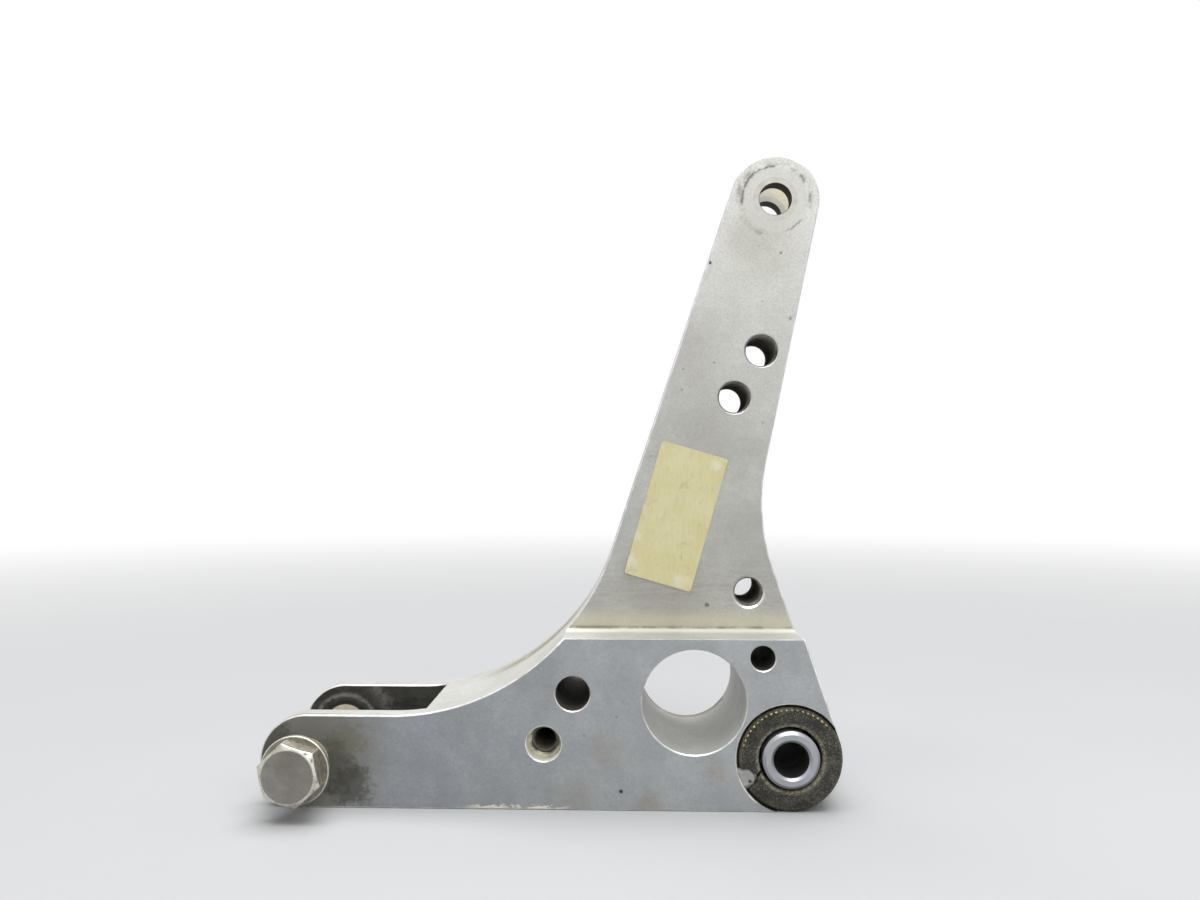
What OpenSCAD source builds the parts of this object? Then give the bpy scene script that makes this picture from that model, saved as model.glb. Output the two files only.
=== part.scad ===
// Aircraft control bellcrank: a two-arm lever that turns on a ball-bearing pivot.
// Millimetres. The pivot axis is the Y axis, -Y is the side that carries the label, Z is up.

/* [Arms] */
// Height of the eye above the pivot
arm_upper = 100; // [90:0.5:115]
// Reach of the lower fork to the left of the pivot
arm_lower = 84; // [78:0.5:95]
// How far the eye sits to the left of the pivot
eye_set_back = 0.5; // [0:0.1:3]
// Depth of the lower arm along the pivot axis
lever_depth = 28; // [26:0.5:34]
// Depth of the upper arm along the pivot axis
upper_depth = 16; // [14:0.5:20]
// Height of the ledge above the pivot
ledge_z = 20.4; // [19.6:0.1:22.5]

/* [Outline] */
// Radius of the round end of the upper arm
eye_r = 8.2; // [7.4:0.1:9.5]
// Radius of the round ends of the lower fork
fork_r = 8; // [7.2:0.1:8.8]
// Radius of the round corner at the pivot
boss_r = 9; // [8.7:0.1:10]
// Lean of the upper arm's left edge from upright, in degrees
left_lean = 18.55; // [17:0.05:20]
// Lean of the upper arm's right edge from upright, in degrees
right_lean = 11.83; // [10:0.01:13]
// Lean of the edge that rises from the pivot corner, in degrees
heel_lean = 18.7; // [16:0.1:20]
// Radius of the hollow curve between the two arms
sweep_r = 40; // [34:0.5:44]
// Radius of the hollow curve on the right edge
waist_r = 38; // [30:0.5:44]

/* [Forks] */
// Gap of the upper fork
eye_gap = 9; // [7:0.1:10]
// Depth of the upper fork below the eye
eye_depth = 18; // [13:0.5:21]
// Gap of the lower fork
fork_gap = 20; // [17:0.1:21]
// Depth of the lower fork behind its bolt
fork_depth = 20.2; // [14:0.1:25]
// Bore of the bushes and of the pivot
pin_d = 6; // [5:0.1:6.4]
// Wall of the fork bushes
bush_wall = 1.1; // [0.9:0.05:1.5]

/* [Holes] */
// Diameter of the lightening hole
light_d = 18; // [14:0.1:18.4]
// Distance of the lightening hole to the left of the pivot
light_x = 16.5; // [16.3:0.1:19]
// Height of the lightening hole above the pivot
light_z = 9.6; // [9.2:0.1:10.4]
// Spacing of each pair of small holes
pair_pitch = 10; // [8:0.1:11]
// Lean of the plain pairs from level, in degrees
pair_tilt = 60; // [50:1:70]
// Lean of the heel pair from level, in degrees
heel_tilt = 96; // [90:1:102]
// Distance of the upper pair's low hole to the left of the pivot
upper_pair_x = 8.2; // [6:0.1:10]
// How far the upper pair's low hole lies below the eye
upper_pair_drop = 36.9; // [34:0.1:40]
// Diameter of the upper pair
upper_pair_d = 6.1; // [4:0.1:6.6]
// Distance of the lower pair's low hole to the left of the pivot
lower_pair_x = 42.5; // [38:0.1:46]
// Height of the lower pair's low hole
lower_pair_z = 2.3; // [0:0.1:3]
// Diameter of the lower pair's high hole
lower_pair_d = 6; // [4:0.1:6.6]
// Diameter of the lower pair's low hole, below its mouth
tapped_d = 4.5; // [3:0.1:5]
// Diameter of the mouth of the lower pair's low hole
mouth_d = 5.9; // [5.4:0.1:6.6]
// Depth of that mouth
mouth_depth = 3; // [1:0.1:6]
// Distance of the heel pair's low hole to the left of the pivot
heel_pair_x = 4.7; // [4:0.1:6]
// Height of the heel pair's low hole
heel_pair_z = 17.2; // [16.8:0.1:17.4]
// Diameter of the heel pair's low hole
heel_low_d = 4.3; // [3:0.1:4.4]
// Diameter of the heel pair's high hole
heel_high_d = 5.4; // [4:0.1:6]
// Chamfer of the heel pair's high hole
heel_chamfer = 0.4; // [0.2:0.05:0.6]
// Edge break of the other holes
edge_break = 0.2; // [0.1:0.05:0.3]

/* [Pivot] */
// Thickness of the dust rings
seal_t = 1.2; // [0.8:0.1:2]
// How far the dust ring's edge lies inside the pivot corner
seal_inset = 0.1; // [0.05:0.05:0.4]
// Gap round the dust ring in its seat
seal_gap = 0.4; // [0.3:0.05:0.5]
// Gap between the dust ring and the inner ring
seal_clear = 0.55; // [0.3:0.05:0.7]
// How deep the chip in the front dust ring reaches in from its edge
chip_depth = 2.4; // [1.5:0.1:2.8]
// Width of the crack beside the chip
crack_w = 0.3; // [0.2:0.05:0.5]
// Outside diameter of the inner rings
inner_d = 9.8; // [9:0.1:10.2]
// How far the inner rings stand proud of the faces
inner_proud = 0.8; // [0.3:0.1:1.5]
// Chamfer at the mouth of the pivot bore
bore_chamfer = 0.5; // [0.2:0.05:0.8]
// Outside diameter of the bearing's outer rings
outer_d = 15; // [14.4:0.1:15.4]
// Wall of the outer rings as a share of the bearing's section
wall_share = 0.385; // [0.3:0.005:0.42]
// Width of each bearing
race_w = 5; // [4.2:0.1:6]
// Ball diameter
ball_d = 2; // [1.7:0.05:2.1]
// Number of balls in each bearing
ball_n = 11; // [8:1:12]
// Running clearance of a ball in its track
ball_clear = 0.04; // [0.02:0.01:0.06]
// Thickness of the cage as a share of the gap between the rings
cage_share = 0.5; // [0.4:0.05:0.6]
// Side wall of the cage beside a ball pocket
cage_wall = 0.6; // [0.4:0.05:0.9]
// Clearance round the centre spacer
spacer_clear = 1.1; // [0.5:0.1:1.5]
// Wall of the centre spacer
spacer_wall = 1.6; // [1:0.1:2]

/* [Fork bolt] */
// Running clearance of the bolt in its bushes
run_clear = 0.03; // [0.02:0.01:0.08]
// Gap between the front ear and the washer under the loose bolt's head
stand_off = 4.7; // [0.5:0.1:6]
// Size across the flats of head and nut
flats = 9.6; // [9:0.1:10.4]
// Height of the bolt head
head_h = 3.5; // [3:0.1:5]
// Diameter of the flat face on the head
face_d = 9; // [8.4:0.1:9.4]
// Turn of the bolt, in degrees
bolt_turn = 13; // [0:1:60]
// Washer diameter
washer_d = 11.7; // [11.2:0.1:13]
// Washer thickness
washer_t = 1; // [0.6:0.1:1.6]
// Washer clearance on the bolt
washer_clear = 0.2; // [0.1:0.05:0.3]
// Height of the nut's hexagon
nut_h = 4.5; // [3.5:0.1:6]
// Height of the nut's crown
crown_h = 2.5; // [2:0.1:3.5]
// Wall of the nut's crown
crown_wall = 1.3; // [1:0.1:1.6]
// Diameter of the cotter pin
cotter_d = 1.5; // [1.2:0.1:1.8]
// Clearance of the cotter pin in the bolt and in the crown's slots
cotter_clear = 0.1; // [0.05:0.05:0.2]
// How far the bolt's end stands out of the nut
bolt_tip = 1.2; // [0.6:0.1:3]

/* [Label] */
// Width of the sticker
label_w = 12.7; // [10:0.1:14]
// Length of the sticker
label_l = 25.5; // [20:0.1:28]
// Thickness of the sticker
label_t = 0.15; // [0.1:0.05:0.3]
// Distance of the sticker's middle to the left of the pivot
label_x = 19; // [17:0.1:20]
// Height of the sticker's middle above the pivot
label_z = 41.1; // [39:0.1:45]
// Lean of the sticker from upright, in degrees
label_lean = 16.1; // [12:0.1:20]

/* [Hidden] */
$fn = 96;
over = 1;
blend = 0.02;
far = 3 * (arm_upper + arm_lower);

front_y = -lever_depth / 2;
rear_y = lever_depth / 2;
step_y = rear_y - upper_depth;
eye_mid_y = rear_y - upper_depth / 2;

function toward(a) = [cos(a), sin(a)];
function meet(n, d, m, e) = [d * m.y - e * n.y, n.x * e - m.x * d] / (n.x * m.y - n.y * m.x);

eye_c = [-eye_set_back, arm_upper];
fork_c = [-arm_lower, fork_r - boss_r];
fork_top = fork_c.y + fork_r;
left_n = toward(180 - left_lean);
right_n = toward(-right_lean);
heel_n = toward(heel_lean);
waist_c = meet(right_n, right_n * eye_c + eye_r + waist_r, heel_n, boss_r + waist_r);
sweep_c = meet(left_n, left_n * eye_c + eye_r + sweep_r, [0, 1], fork_top + sweep_r);

pin_r = pin_d / 2;
bush_r = pin_r + bush_wall;
seal_r = boss_r - seal_inset;
seat_r = seal_r + seal_gap;
inner_r = inner_d / 2;
seal_bore_r = inner_r + seal_clear;
outer_r = outer_d / 2;
outer_bore_r = outer_r - wall_share * (outer_r - inner_r);
pitch_r = (inner_r + outer_bore_r) / 2;
ring_gap = outer_bore_r - inner_r;
ball_r = ball_d / 2;
pocket_r = ball_r + ball_clear;
race_y = front_y + seal_t;
race_mid_y = race_y + race_w / 2;
race_end_y = race_y + race_w;
spacer_r = pin_r + spacer_wall;
chip_from = 191;
chip_to = 215;

shank_r = pin_r - run_clear;
washer_y = front_y - stand_off;
head_y = washer_y - washer_t;
nut_y = rear_y + washer_t;
crown_y = nut_y + nut_h;
cotter_y = crown_y + crown_h / 2;
bolt_end_y = crown_y + crown_h + bolt_tip;
corner_r = flats / 2 / cos(30);
crown_r = shank_r + crown_wall;
cotter_r = cotter_d / 2;
cotter_loop_r = 1.6 * cotter_r;
cotter_leg_r = 0.7 * cotter_r;
cotter_bend_r = 1.15 * cotter_r;

// Extrudes a shape drawn as seen from the front, from y0 back to y1.
module slab(y0, y1) {
    translate([0, y1, 0])
        rotate([90, 0, 0])
            linear_extrude(height = y1 - y0)
                children();
}

// Turns a half profile of [radius, y] about the Y axis.
module turned() {
    rotate([-90, 0, 0])
        rotate_extrude()
            children();
}

// A drilled hole with a broken edge at its front mouth, from y0 to the back.
module drilled(p, d, y0, chamfer) {
    translate([p.x, 0, p.y])
        turned()
            polygon([
                [0, y0 - over],
                [d / 2 + chamfer + over, y0 - over],
                [d / 2, y0 + chamfer],
                [d / 2, rear_y + over],
                [0, rear_y + over]
            ]);
}

// Each arc reaches past the straight edges it joins by the blend, so that they cross cleanly.
module outline() {
    difference() {
        union() {
            polygon([
                [fork_c.x, -boss_r],
                [0, -boss_r],
                boss_r * heel_n,
                waist_c - waist_r * heel_n,
                waist_c - waist_r * right_n,
                eye_c + eye_r * right_n,
                eye_c + eye_r * left_n,
                sweep_c - sweep_r * left_n,
                sweep_c - [0, sweep_r],
                [fork_c.x, fork_top]
            ]);
            circle(r = boss_r + blend);
            translate(eye_c) circle(r = eye_r + blend);
            translate(fork_c) circle(r = fork_r + blend);
        }
        translate(waist_c) circle(r = waist_r + blend);
        translate(sweep_c) circle(r = sweep_r + blend);
        translate([-far / 2, -boss_r - far]) square(far);
    }
}

module pivot_seat() {
    turned()
        polygon([
            [0, front_y - over],
            [seat_r, front_y - over],
            [seat_r, race_y],
            [outer_r, race_y],
            [outer_r, race_end_y],
            [spacer_r + spacer_clear, race_end_y],
            [spacer_r + spacer_clear, over],
            [0, over]
        ]);
}

module lever_body() {
    upper_low = [-upper_pair_x, arm_upper - upper_pair_drop];
    lower_low = [-lower_pair_x, lower_pair_z];
    heel_low = [-heel_pair_x, heel_pair_z];
    color("Silver")
        difference() {
            slab(front_y, rear_y) outline();
            translate([-far / 2, front_y - over, ledge_z])
                cube([far, step_y - front_y + over, far]);
            translate([-far / 2, eye_mid_y - eye_gap / 2, arm_upper - eye_depth])
                cube([far, eye_gap, far]);
            translate([fork_depth - arm_lower - far, -fork_gap / 2, -far / 2])
                cube([far, fork_gap, far]);
            translate([eye_c.x, 0, eye_c.y])
                slab(step_y - over, rear_y + over) circle(r = bush_r);
            translate([fork_c.x, 0, fork_c.y])
                slab(front_y - over, rear_y + over) circle(r = bush_r);
            pivot_seat();
            mirror([0, 1, 0]) pivot_seat();
            drilled([-light_x, light_z], light_d, front_y, edge_break);
            drilled(upper_low, upper_pair_d, step_y, edge_break);
            drilled(upper_low + pair_pitch * toward(pair_tilt), upper_pair_d, step_y, edge_break);
            drilled(lower_low, tapped_d, front_y, edge_break);
            translate([lower_low.x, 0, lower_low.y])
                slab(front_y - over, front_y + mouth_depth) circle(d = mouth_d);
            drilled(lower_low + pair_pitch * toward(pair_tilt), lower_pair_d, front_y, edge_break);
            drilled(heel_low, heel_low_d, front_y, edge_break);
            drilled(heel_low + pair_pitch * toward(heel_tilt), heel_high_d, step_y, heel_chamfer);
        }
}

module bush(at, y0, y1) {
    translate([at.x, 0, at.y])
        slab(y0, y1)
            difference() {
                circle(r = bush_r);
                circle(r = pin_r);
            }
}

module upper_front_bush() {
    color("LightSteelBlue") bush(eye_c, step_y, eye_mid_y - eye_gap / 2);
}

module upper_rear_bush() {
    color("LightSteelBlue") bush(eye_c, eye_mid_y + eye_gap / 2, rear_y);
}

module lower_front_bush() {
    color("LightSteelBlue") bush(fork_c, front_y, -fork_gap / 2);
}

module lower_rear_bush() {
    color("LightSteelBlue") bush(fork_c, fork_gap / 2, rear_y);
}

// Places what is drawn about the Y axis on the fork bolt's axis, turned with the bolt.
module on_bolt() {
    translate([fork_c.x, 0, fork_c.y])
        rotate([0, -bolt_turn, 0])
            children();
}

module hexagon(y0, y1) {
    slab(y0, y1)
        rotate(30)
            circle(r = corner_r, $fn = 6);
}

module clevis_bolt() {
    color("Gray")
        on_bolt() {
            intersection() {
                hexagon(head_y - head_h, head_y);
                turned()
                    polygon([
                        [0, head_y - head_h],
                        [face_d / 2, head_y - head_h],
                        [corner_r, head_y - head_h + (corner_r - face_d / 2) * tan(30)],
                        [corner_r, head_y],
                        [0, head_y]
                    ]);
            }
            difference() {
                turned()
                    polygon([
                        [0, head_y],
                        [shank_r, head_y],
                        [shank_r, bolt_end_y - bolt_tip / 2],
                        [shank_r - bolt_tip / 2, bolt_end_y],
                        [0, bolt_end_y]
                    ]);
                translate([-shank_r - over, cotter_y, 0])
                    rotate([0, 90, 0])
                        cylinder(h = 2 * (shank_r + over), r = cotter_r + cotter_clear);
            }
        }
}

module washer(y0) {
    on_bolt()
        slab(y0, y0 + washer_t)
            difference() {
                circle(d = washer_d);
                circle(r = shank_r + washer_clear);
            }
}

module head_washer() {
    color("DarkGray") washer(head_y);
}

module nut_washer() {
    color("DarkGray") washer(rear_y);
}

module castle_nut() {
    slot_w = cotter_d + 2 * cotter_clear;
    color("DimGray")
        on_bolt()
            difference() {
                union() {
                    intersection() {
                        hexagon(nut_y, crown_y);
                        turned()
                            polygon([
                                [0, nut_y],
                                [corner_r, nut_y],
                                [corner_r, crown_y - (corner_r - crown_r) * tan(30)],
                                [crown_r, crown_y],
                                [0, crown_y]
                            ]);
                    }
                    slab(crown_y, crown_y + crown_h) circle(r = crown_r);
                }
                slab(nut_y - over, bolt_end_y + over) circle(r = shank_r);
                for (i = [0:2])
                    rotate([0, 60 * i, 0])
                        translate([-corner_r, cotter_y - slot_w / 2, -slot_w / 2])
                            cube([2 * corner_r, far, slot_w]);
            }
}

module cotter_pin() {
    leg_x = corner_r + cotter_bend_r;
    neck_x = crown_r + cotter_leg_r;
    color("DarkSlateGray")
        on_bolt()
            translate([0, cotter_y, 0]) {
                translate([-neck_x, 0, 0])
                    rotate([0, 90, 0])
                        cylinder(h = neck_x + leg_x, r = cotter_r);
                translate([-neck_x - cotter_loop_r, 0, 0])
                    rotate_extrude()
                        translate([cotter_loop_r, 0])
                            circle(r = cotter_leg_r);
                translate([leg_x, 0, 0])
                    sphere(r = cotter_bend_r);
                for (side = [-1, 1])
                    translate([leg_x, 0, 0])
                        rotate([-90 * side, 0, 0])
                            cylinder(h = crown_h, r = cotter_leg_r);
            }
}

// The broken part of the front dust ring, as polar points round its edge, and the crack beside it.
module chip() {
    deep = seal_r - chip_depth;
    polygon([
        (seal_r + over) * toward(chip_from - 1),
        (seal_r - 0.6 * chip_depth) * toward(chip_from + 2),
        deep * toward(chip_from + 14),
        (deep + 0.1 * chip_depth) * toward(chip_to - 2),
        (seal_r - 0.2 * chip_depth) * toward(chip_to),
        (seal_r + over) * toward(chip_to + 2)
    ]);
    polygon([
        (seal_bore_r - over) * toward(chip_from + 5),
        (seal_bore_r - over) * toward(chip_from + 5 + 2 * crack_w / seal_bore_r * 57.3),
        (deep + crack_w) * toward(chip_from + 14 + crack_w / deep * 57.3),
        (deep + crack_w) * toward(chip_from + 14)
    ]);
}

module cover_ring() {
    difference() {
        circle(r = seal_r);
        circle(r = seal_bore_r);
    }
}

module front_cover_ring() {
    color("DarkOliveGreen")
        slab(front_y, race_y)
            difference() {
                cover_ring();
                chip();
            }
}

module outer_ring() {
    turned()
        difference() {
            polygon([
                [outer_bore_r, race_y],
                [outer_r, race_y],
                [outer_r, race_end_y],
                [outer_bore_r, race_end_y]
            ]);
            translate([pitch_r, race_mid_y]) circle(r = pocket_r);
        }
}

module front_outer_ring() {
    color("SlateGray") outer_ring();
}

module inner_ring() {
    mouth_y = front_y - inner_proud;
    turned()
        difference() {
            polygon([
                [pin_r + bore_chamfer, mouth_y],
                [inner_r - bore_chamfer, mouth_y],
                [inner_r, mouth_y + bore_chamfer],
                [inner_r, race_end_y],
                [pin_r, race_end_y],
                [pin_r, mouth_y + bore_chamfer]
            ]);
            translate([pitch_r, race_mid_y]) circle(r = pocket_r);
        }
}

module front_inner_ring() {
    color("LightGray") inner_ring();
}

module on_pitch() {
    for (i = [0:ball_n - 1])
        rotate([0, 360 / ball_n * i, 0])
            translate([pitch_r, race_mid_y, 0])
                children();
}

module front_balls() {
    color("WhiteSmoke") on_pitch() sphere(r = ball_r);
}

module cage() {
    half = ball_r + ball_clear + cage_wall;
    difference() {
        slab(race_mid_y - half, race_mid_y + half)
            difference() {
                circle(r = pitch_r + cage_share * ring_gap / 2);
                circle(r = pitch_r - cage_share * ring_gap / 2);
            }
        on_pitch()
            rotate([0, 90, 0])
                cylinder(h = ring_gap, r = pocket_r, center = true);
    }
}

module front_cage() {
    color("Goldenrod") cage();
}

module rear_cover_ring() {
    color("DarkOliveGreen") mirror([0, 1, 0]) slab(front_y, race_y) cover_ring();
}

module rear_outer_ring() {
    color("SlateGray") mirror([0, 1, 0]) outer_ring();
}

module rear_inner_ring() {
    color("LightGray") mirror([0, 1, 0]) inner_ring();
}

module rear_balls() {
    color("WhiteSmoke") mirror([0, 1, 0]) front_balls();
}

module rear_cage() {
    color("Goldenrod") mirror([0, 1, 0]) cage();
}

module centre_spacer() {
    color("DarkKhaki")
        slab(race_end_y, -race_end_y)
            difference() {
                circle(r = spacer_r);
                circle(r = pin_r);
            }
}

module blank_label() {
    color("Wheat")
        translate([-label_x, 0, label_z])
            rotate([0, label_lean, 0])
                slab(step_y - label_t, step_y)
                    square([label_w, label_l], center = true);
}

lever_body();
upper_front_bush();
upper_rear_bush();
lower_front_bush();
lower_rear_bush();
clevis_bolt();
head_washer();
nut_washer();
castle_nut();
cotter_pin();
front_cover_ring();
front_outer_ring();
front_inner_ring();
front_balls();
front_cage();
rear_cover_ring();
rear_outer_ring();
rear_inner_ring();
rear_balls();
rear_cage();
centre_spacer();
blank_label();
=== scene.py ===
"""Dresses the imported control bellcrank: its lever, fork bolt, pivot bearing and blank sticker."""

import logging
import math
from collections.abc import Callable, Iterable, Sequence
from dataclasses import dataclass, field
from enum import Enum
from functools import cached_property
from typing import ClassVar

import bmesh
import bpy
from mathutils import Euler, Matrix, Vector, noise

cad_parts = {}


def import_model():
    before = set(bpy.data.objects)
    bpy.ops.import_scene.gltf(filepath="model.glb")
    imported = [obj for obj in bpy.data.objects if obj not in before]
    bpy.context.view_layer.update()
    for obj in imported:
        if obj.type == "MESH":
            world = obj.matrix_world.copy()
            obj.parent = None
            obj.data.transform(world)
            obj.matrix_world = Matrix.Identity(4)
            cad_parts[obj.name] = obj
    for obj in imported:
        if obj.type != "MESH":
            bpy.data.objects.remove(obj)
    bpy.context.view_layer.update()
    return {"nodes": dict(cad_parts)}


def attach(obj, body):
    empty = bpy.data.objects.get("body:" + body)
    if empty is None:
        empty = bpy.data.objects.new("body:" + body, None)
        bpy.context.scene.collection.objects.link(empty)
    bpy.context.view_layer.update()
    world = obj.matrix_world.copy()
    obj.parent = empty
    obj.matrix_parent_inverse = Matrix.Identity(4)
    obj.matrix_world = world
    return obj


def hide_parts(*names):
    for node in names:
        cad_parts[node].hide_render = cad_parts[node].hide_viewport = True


log = logging.getLogger("bellcrank")

MM = 0.001
Colour = tuple[float, float, float]
Triple = tuple[float, float, float]
Point = tuple[float, float]
Quad = tuple[int, int, int, int]
Node = bpy.types.Node
Socket = bpy.types.NodeSocket
Thing = bpy.types.Object
Feed = float | tuple | Socket
Feeds = dict[str | int, Feed]

# Centres that several pieces share, across and up, in millimetres
PIVOT: Point = (0.0, 0.0)
EYE: Point = (-0.5, 100.0)
FORK: Point = (-84.0, -1.0)
UPPER_HOLES: tuple[Point, Point] = ((-8.2, 63.1), (-3.2, 71.76))
HEEL_HOLES: tuple[Point, Point] = ((-4.7, 17.2), (-5.75, 27.15))
PLAIN_HOLE: Point = (-37.5, 10.96)
STEPPED_HOLE: Point = (-42.5, 2.3)
LIGHT_HOLE: Point = (-16.5, 9.6)
SWEEP_CENTRE: Point = (-69.13, 47.0)
FILLER_PIT: Point = (-7.0, -3.9)


class Side(Enum):
    """The end of the pivot that a bearing piece belongs to."""

    FRONT = -1
    REAR = 1


class Effect(Enum):
    """A surface effect that several finishes share as one shader group."""

    MOTTLE = "mottle"
    ROUND_PATCH = "round_patch"
    ROUND_MARK = "round_mark"
    TURNED = "turned_lines"
    SPECKS = "specks"


class Band(Enum):
    """A range of depths on the lever that a mark keeps to, and how softly it ends, in millimetres."""

    BLOCK_FACE = (-15.0, -13.0, 0.05)
    ARM_FACE = (-3.0, -1.0, 0.05)
    BACK_FACE = (13.0, 15.0, 0.05)
    FAR_EAR = (9.0, 11.0, 0.05)
    SWEEP = (4.6, 10.2, 3.4)
    HOLE_END = (12.0, 14.3, 1.0)
    HOLE_LIP = (13.5, 14.3, 0.05)
    STEP_WALL = (-13.95, -10.9, 0.05)
    STEP_FLOOR = (-12.2, -10.6, 0.5)


class NodeBoard:
    """Adds and wires the nodes of one tree, from left to right."""

    columns: ClassVar[int] = 14
    spacing: ClassVar[tuple[int, int]] = (190, -320)

    def __init__(self, tree: bpy.types.NodeTree) -> None:
        """Keeps the tree and starts at its first column."""
        self.tree = tree
        self._count = 0

    @classmethod
    def fresh(cls, owner: bpy.types.Material | bpy.types.World) -> "NodeBoard":
        """Empties the tree of a material or a world and opens it.

        Args:
            owner: The material or the world.

        Returns:
            The board of its tree.
        """
        owner.use_nodes = True
        owner.node_tree.nodes.clear()
        return cls(owner.node_tree)

    def add(self, kind: str, inputs: Feeds | None = None, **settings: object) -> Node:
        """Adds one node.

        Args:
            kind: The node's type name.
            inputs: What goes into its sockets, by name or number.
            settings: Properties to set on it.

        Returns:
            The new node.
        """
        made = self.tree.nodes.new(kind)
        row, column = divmod(self._count, self.columns)
        made.location = (self.spacing[0] * column, self.spacing[1] * row)
        self._count += 1
        for name, value in settings.items():
            setattr(made, name, value)
        for key, value in (inputs or {}).items():
            self.feed(made.inputs[key], value)
        return made

    def feed(self, socket: Socket, value: Feed) -> None:
        """Links a socket to another one, or sets it to a plain value.

        Args:
            socket: The input to fill.
            value: A socket, a number, or a colour or vector.
        """
        if isinstance(value, bpy.types.NodeSocket):
            self.tree.links.new(value, socket)
        elif isinstance(value, tuple) and socket.type == "RGBA":
            socket.default_value = (*value[:3], 1.0)
        else:
            socket.default_value = value

    def calc(self, operation: str, a: Feed, b: Feed = 0.0) -> Socket:
        """Does one sum with a Math node."""
        return self.add("ShaderNodeMath", {0: a, 1: b}, operation=operation).outputs[0]

    def times(self, a: Feed, b: Feed) -> Socket:
        """Multiplies two values."""
        return self.calc("MULTIPLY", a, b)

    def reach(self, across: Feed, up: Feed) -> Socket:
        """Returns the length of a line from its two parts at right angles."""
        return self.calc("SQRT", self.calc("ADD", self.times(across, across), self.times(up, up)))

    def ease(self, value: Feed, low: Feed, high: Feed, to_low: float = 0.0, to_high: float = 1.0) -> Socket:
        """Maps a value smoothly from one range to another, held at both ends.

        Args:
            value: What is mapped.
            low: Where the result is to_low.
            high: Where the result is to_high.
            to_low: Result at the low end.
            to_high: Result at the high end.

        Returns:
            The mapped value's socket.
        """
        inputs = {"Value": value, "From Min": low, "From Max": high, "To Min": to_low, "To Max": to_high}
        return self.add("ShaderNodeMapRange", inputs, interpolation_type="SMOOTHSTEP").outputs["Result"]

    def between(self, value: Feed, low: float, high: float, soft: float = 0.05) -> Socket:
        """Masks the values that lie between two limits.

        Args:
            value: What is tested.
            low: Lower limit.
            high: Upper limit.
            soft: Width of the change at each limit.

        Returns:
            A mask that is 1 between the limits.
        """
        above = self.ease(value, low - soft, low + soft)
        below = self.ease(value, high - soft, high + soft, 1.0, 0.0)
        return self.times(above, below)

    def blend(self, mask: Feed, a: Feed, b: Feed, mode: str = "MIX") -> Socket:
        """Lays one colour over another.

        Args:
            mask: How much of the second colour shows.
            a: The colour below.
            b: The colour above.
            mode: How the two are mixed.

        Returns:
            The mixed colour's socket.
        """
        inputs = {0: mask, 6: a, 7: b}
        return self.add("ShaderNodeMix", inputs, data_type="RGBA", blend_type=mode).outputs[2]

    def cloud(self, place: Feed, scale: Feed, detail: float, rough: float) -> Socket:
        """Adds cloudy noise.

        Args:
            place: Position that it is read at.
            scale: Clouds per unit.
            detail: Octaves.
            rough: Weight of the finer octaves.

        Returns:
            The noise value's socket.
        """
        inputs = {"Vector": place, "Scale": scale, "Detail": detail, "Roughness": rough}
        return self.add("ShaderNodeTexNoise", inputs).outputs[0]

    @cached_property
    def place(self) -> Socket:
        """The object coordinates in millimetres."""
        inputs = {0: self.add("ShaderNodeTexCoord").outputs["Object"], "Scale": 1.0 / MM}
        return self.add("ShaderNodeVectorMath", inputs, operation="SCALE").outputs[0]

    @cached_property
    def xyz(self) -> tuple[Socket, Socket, Socket]:
        """The X, Y and Z of the place."""
        return self.parts(self.place)

    def seen_ray(self) -> Socket:
        """Masks what the camera sees directly, in a reflection or through glass.

        Returns:
            A mask that is 1 there.
        """
        path = self.add("ShaderNodeLightPath").outputs
        seen = self.calc("MAXIMUM", path["Is Camera Ray"], path["Is Glossy Ray"])
        return self.calc("MAXIMUM", seen, path["Is Transmission Ray"])

    def stretch(self, factors: Triple) -> Socket:
        """Stretches the place by one factor along each axis."""
        inputs = {0: self.place, 1: factors}
        return self.add("ShaderNodeVectorMath", inputs, operation="MULTIPLY").outputs[0]

    def parts(self, place: Feed) -> tuple[Socket, Socket, Socket]:
        """Splits a position into its X, Y and Z."""
        outputs = self.add("ShaderNodeSeparateXYZ", {0: place}).outputs
        return outputs[0], outputs[1], outputs[2]

    def effect(self, kind: Effect, **values: Feed) -> bpy.types.NodeOutputs:
        """Adds a shared effect at the place.

        Args:
            kind: Which effect.
            values: Its inputs by name, with underscores for blanks.

        Returns:
            The outputs of the group's node.
        """
        inputs = {name.replace("_", " ").capitalize(): value for name, value in values.items()}
        inputs["Place"] = self.place
        return self.add("ShaderNodeGroup", inputs, node_tree=EffectShelf.tree(kind)).outputs

    def mottle(self, broad: float, fine: float) -> tuple[Socket, Socket]:
        """Adds the shared mottle, as its broad clouds and its fine grain."""
        outputs = self.effect(Effect.MOTTLE, broad=broad, fine=fine)
        return outputs["Cloud"], outputs["Grain"]

    def patch(
        self, centre: Point, radius: float, soft: float, wander: float = 0.0, scale: float = 1.0
    ) -> Socket:
        """Masks what lies round a line along Y.

        Args:
            centre: Where the line is, in millimetres.
            radius: How far the mask reaches.
            soft: Width of the change at its edge.
            wander: How far the edge strays.
            scale: How fine it strays.

        Returns:
            The mask's socket.
        """
        shape = {"radius": radius, "soft": soft, "wander": wander, "scale": scale}
        return self.effect(Effect.ROUND_PATCH, centre_x=centre[0], centre_z=centre[1], **shape)["Mask"]


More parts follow.
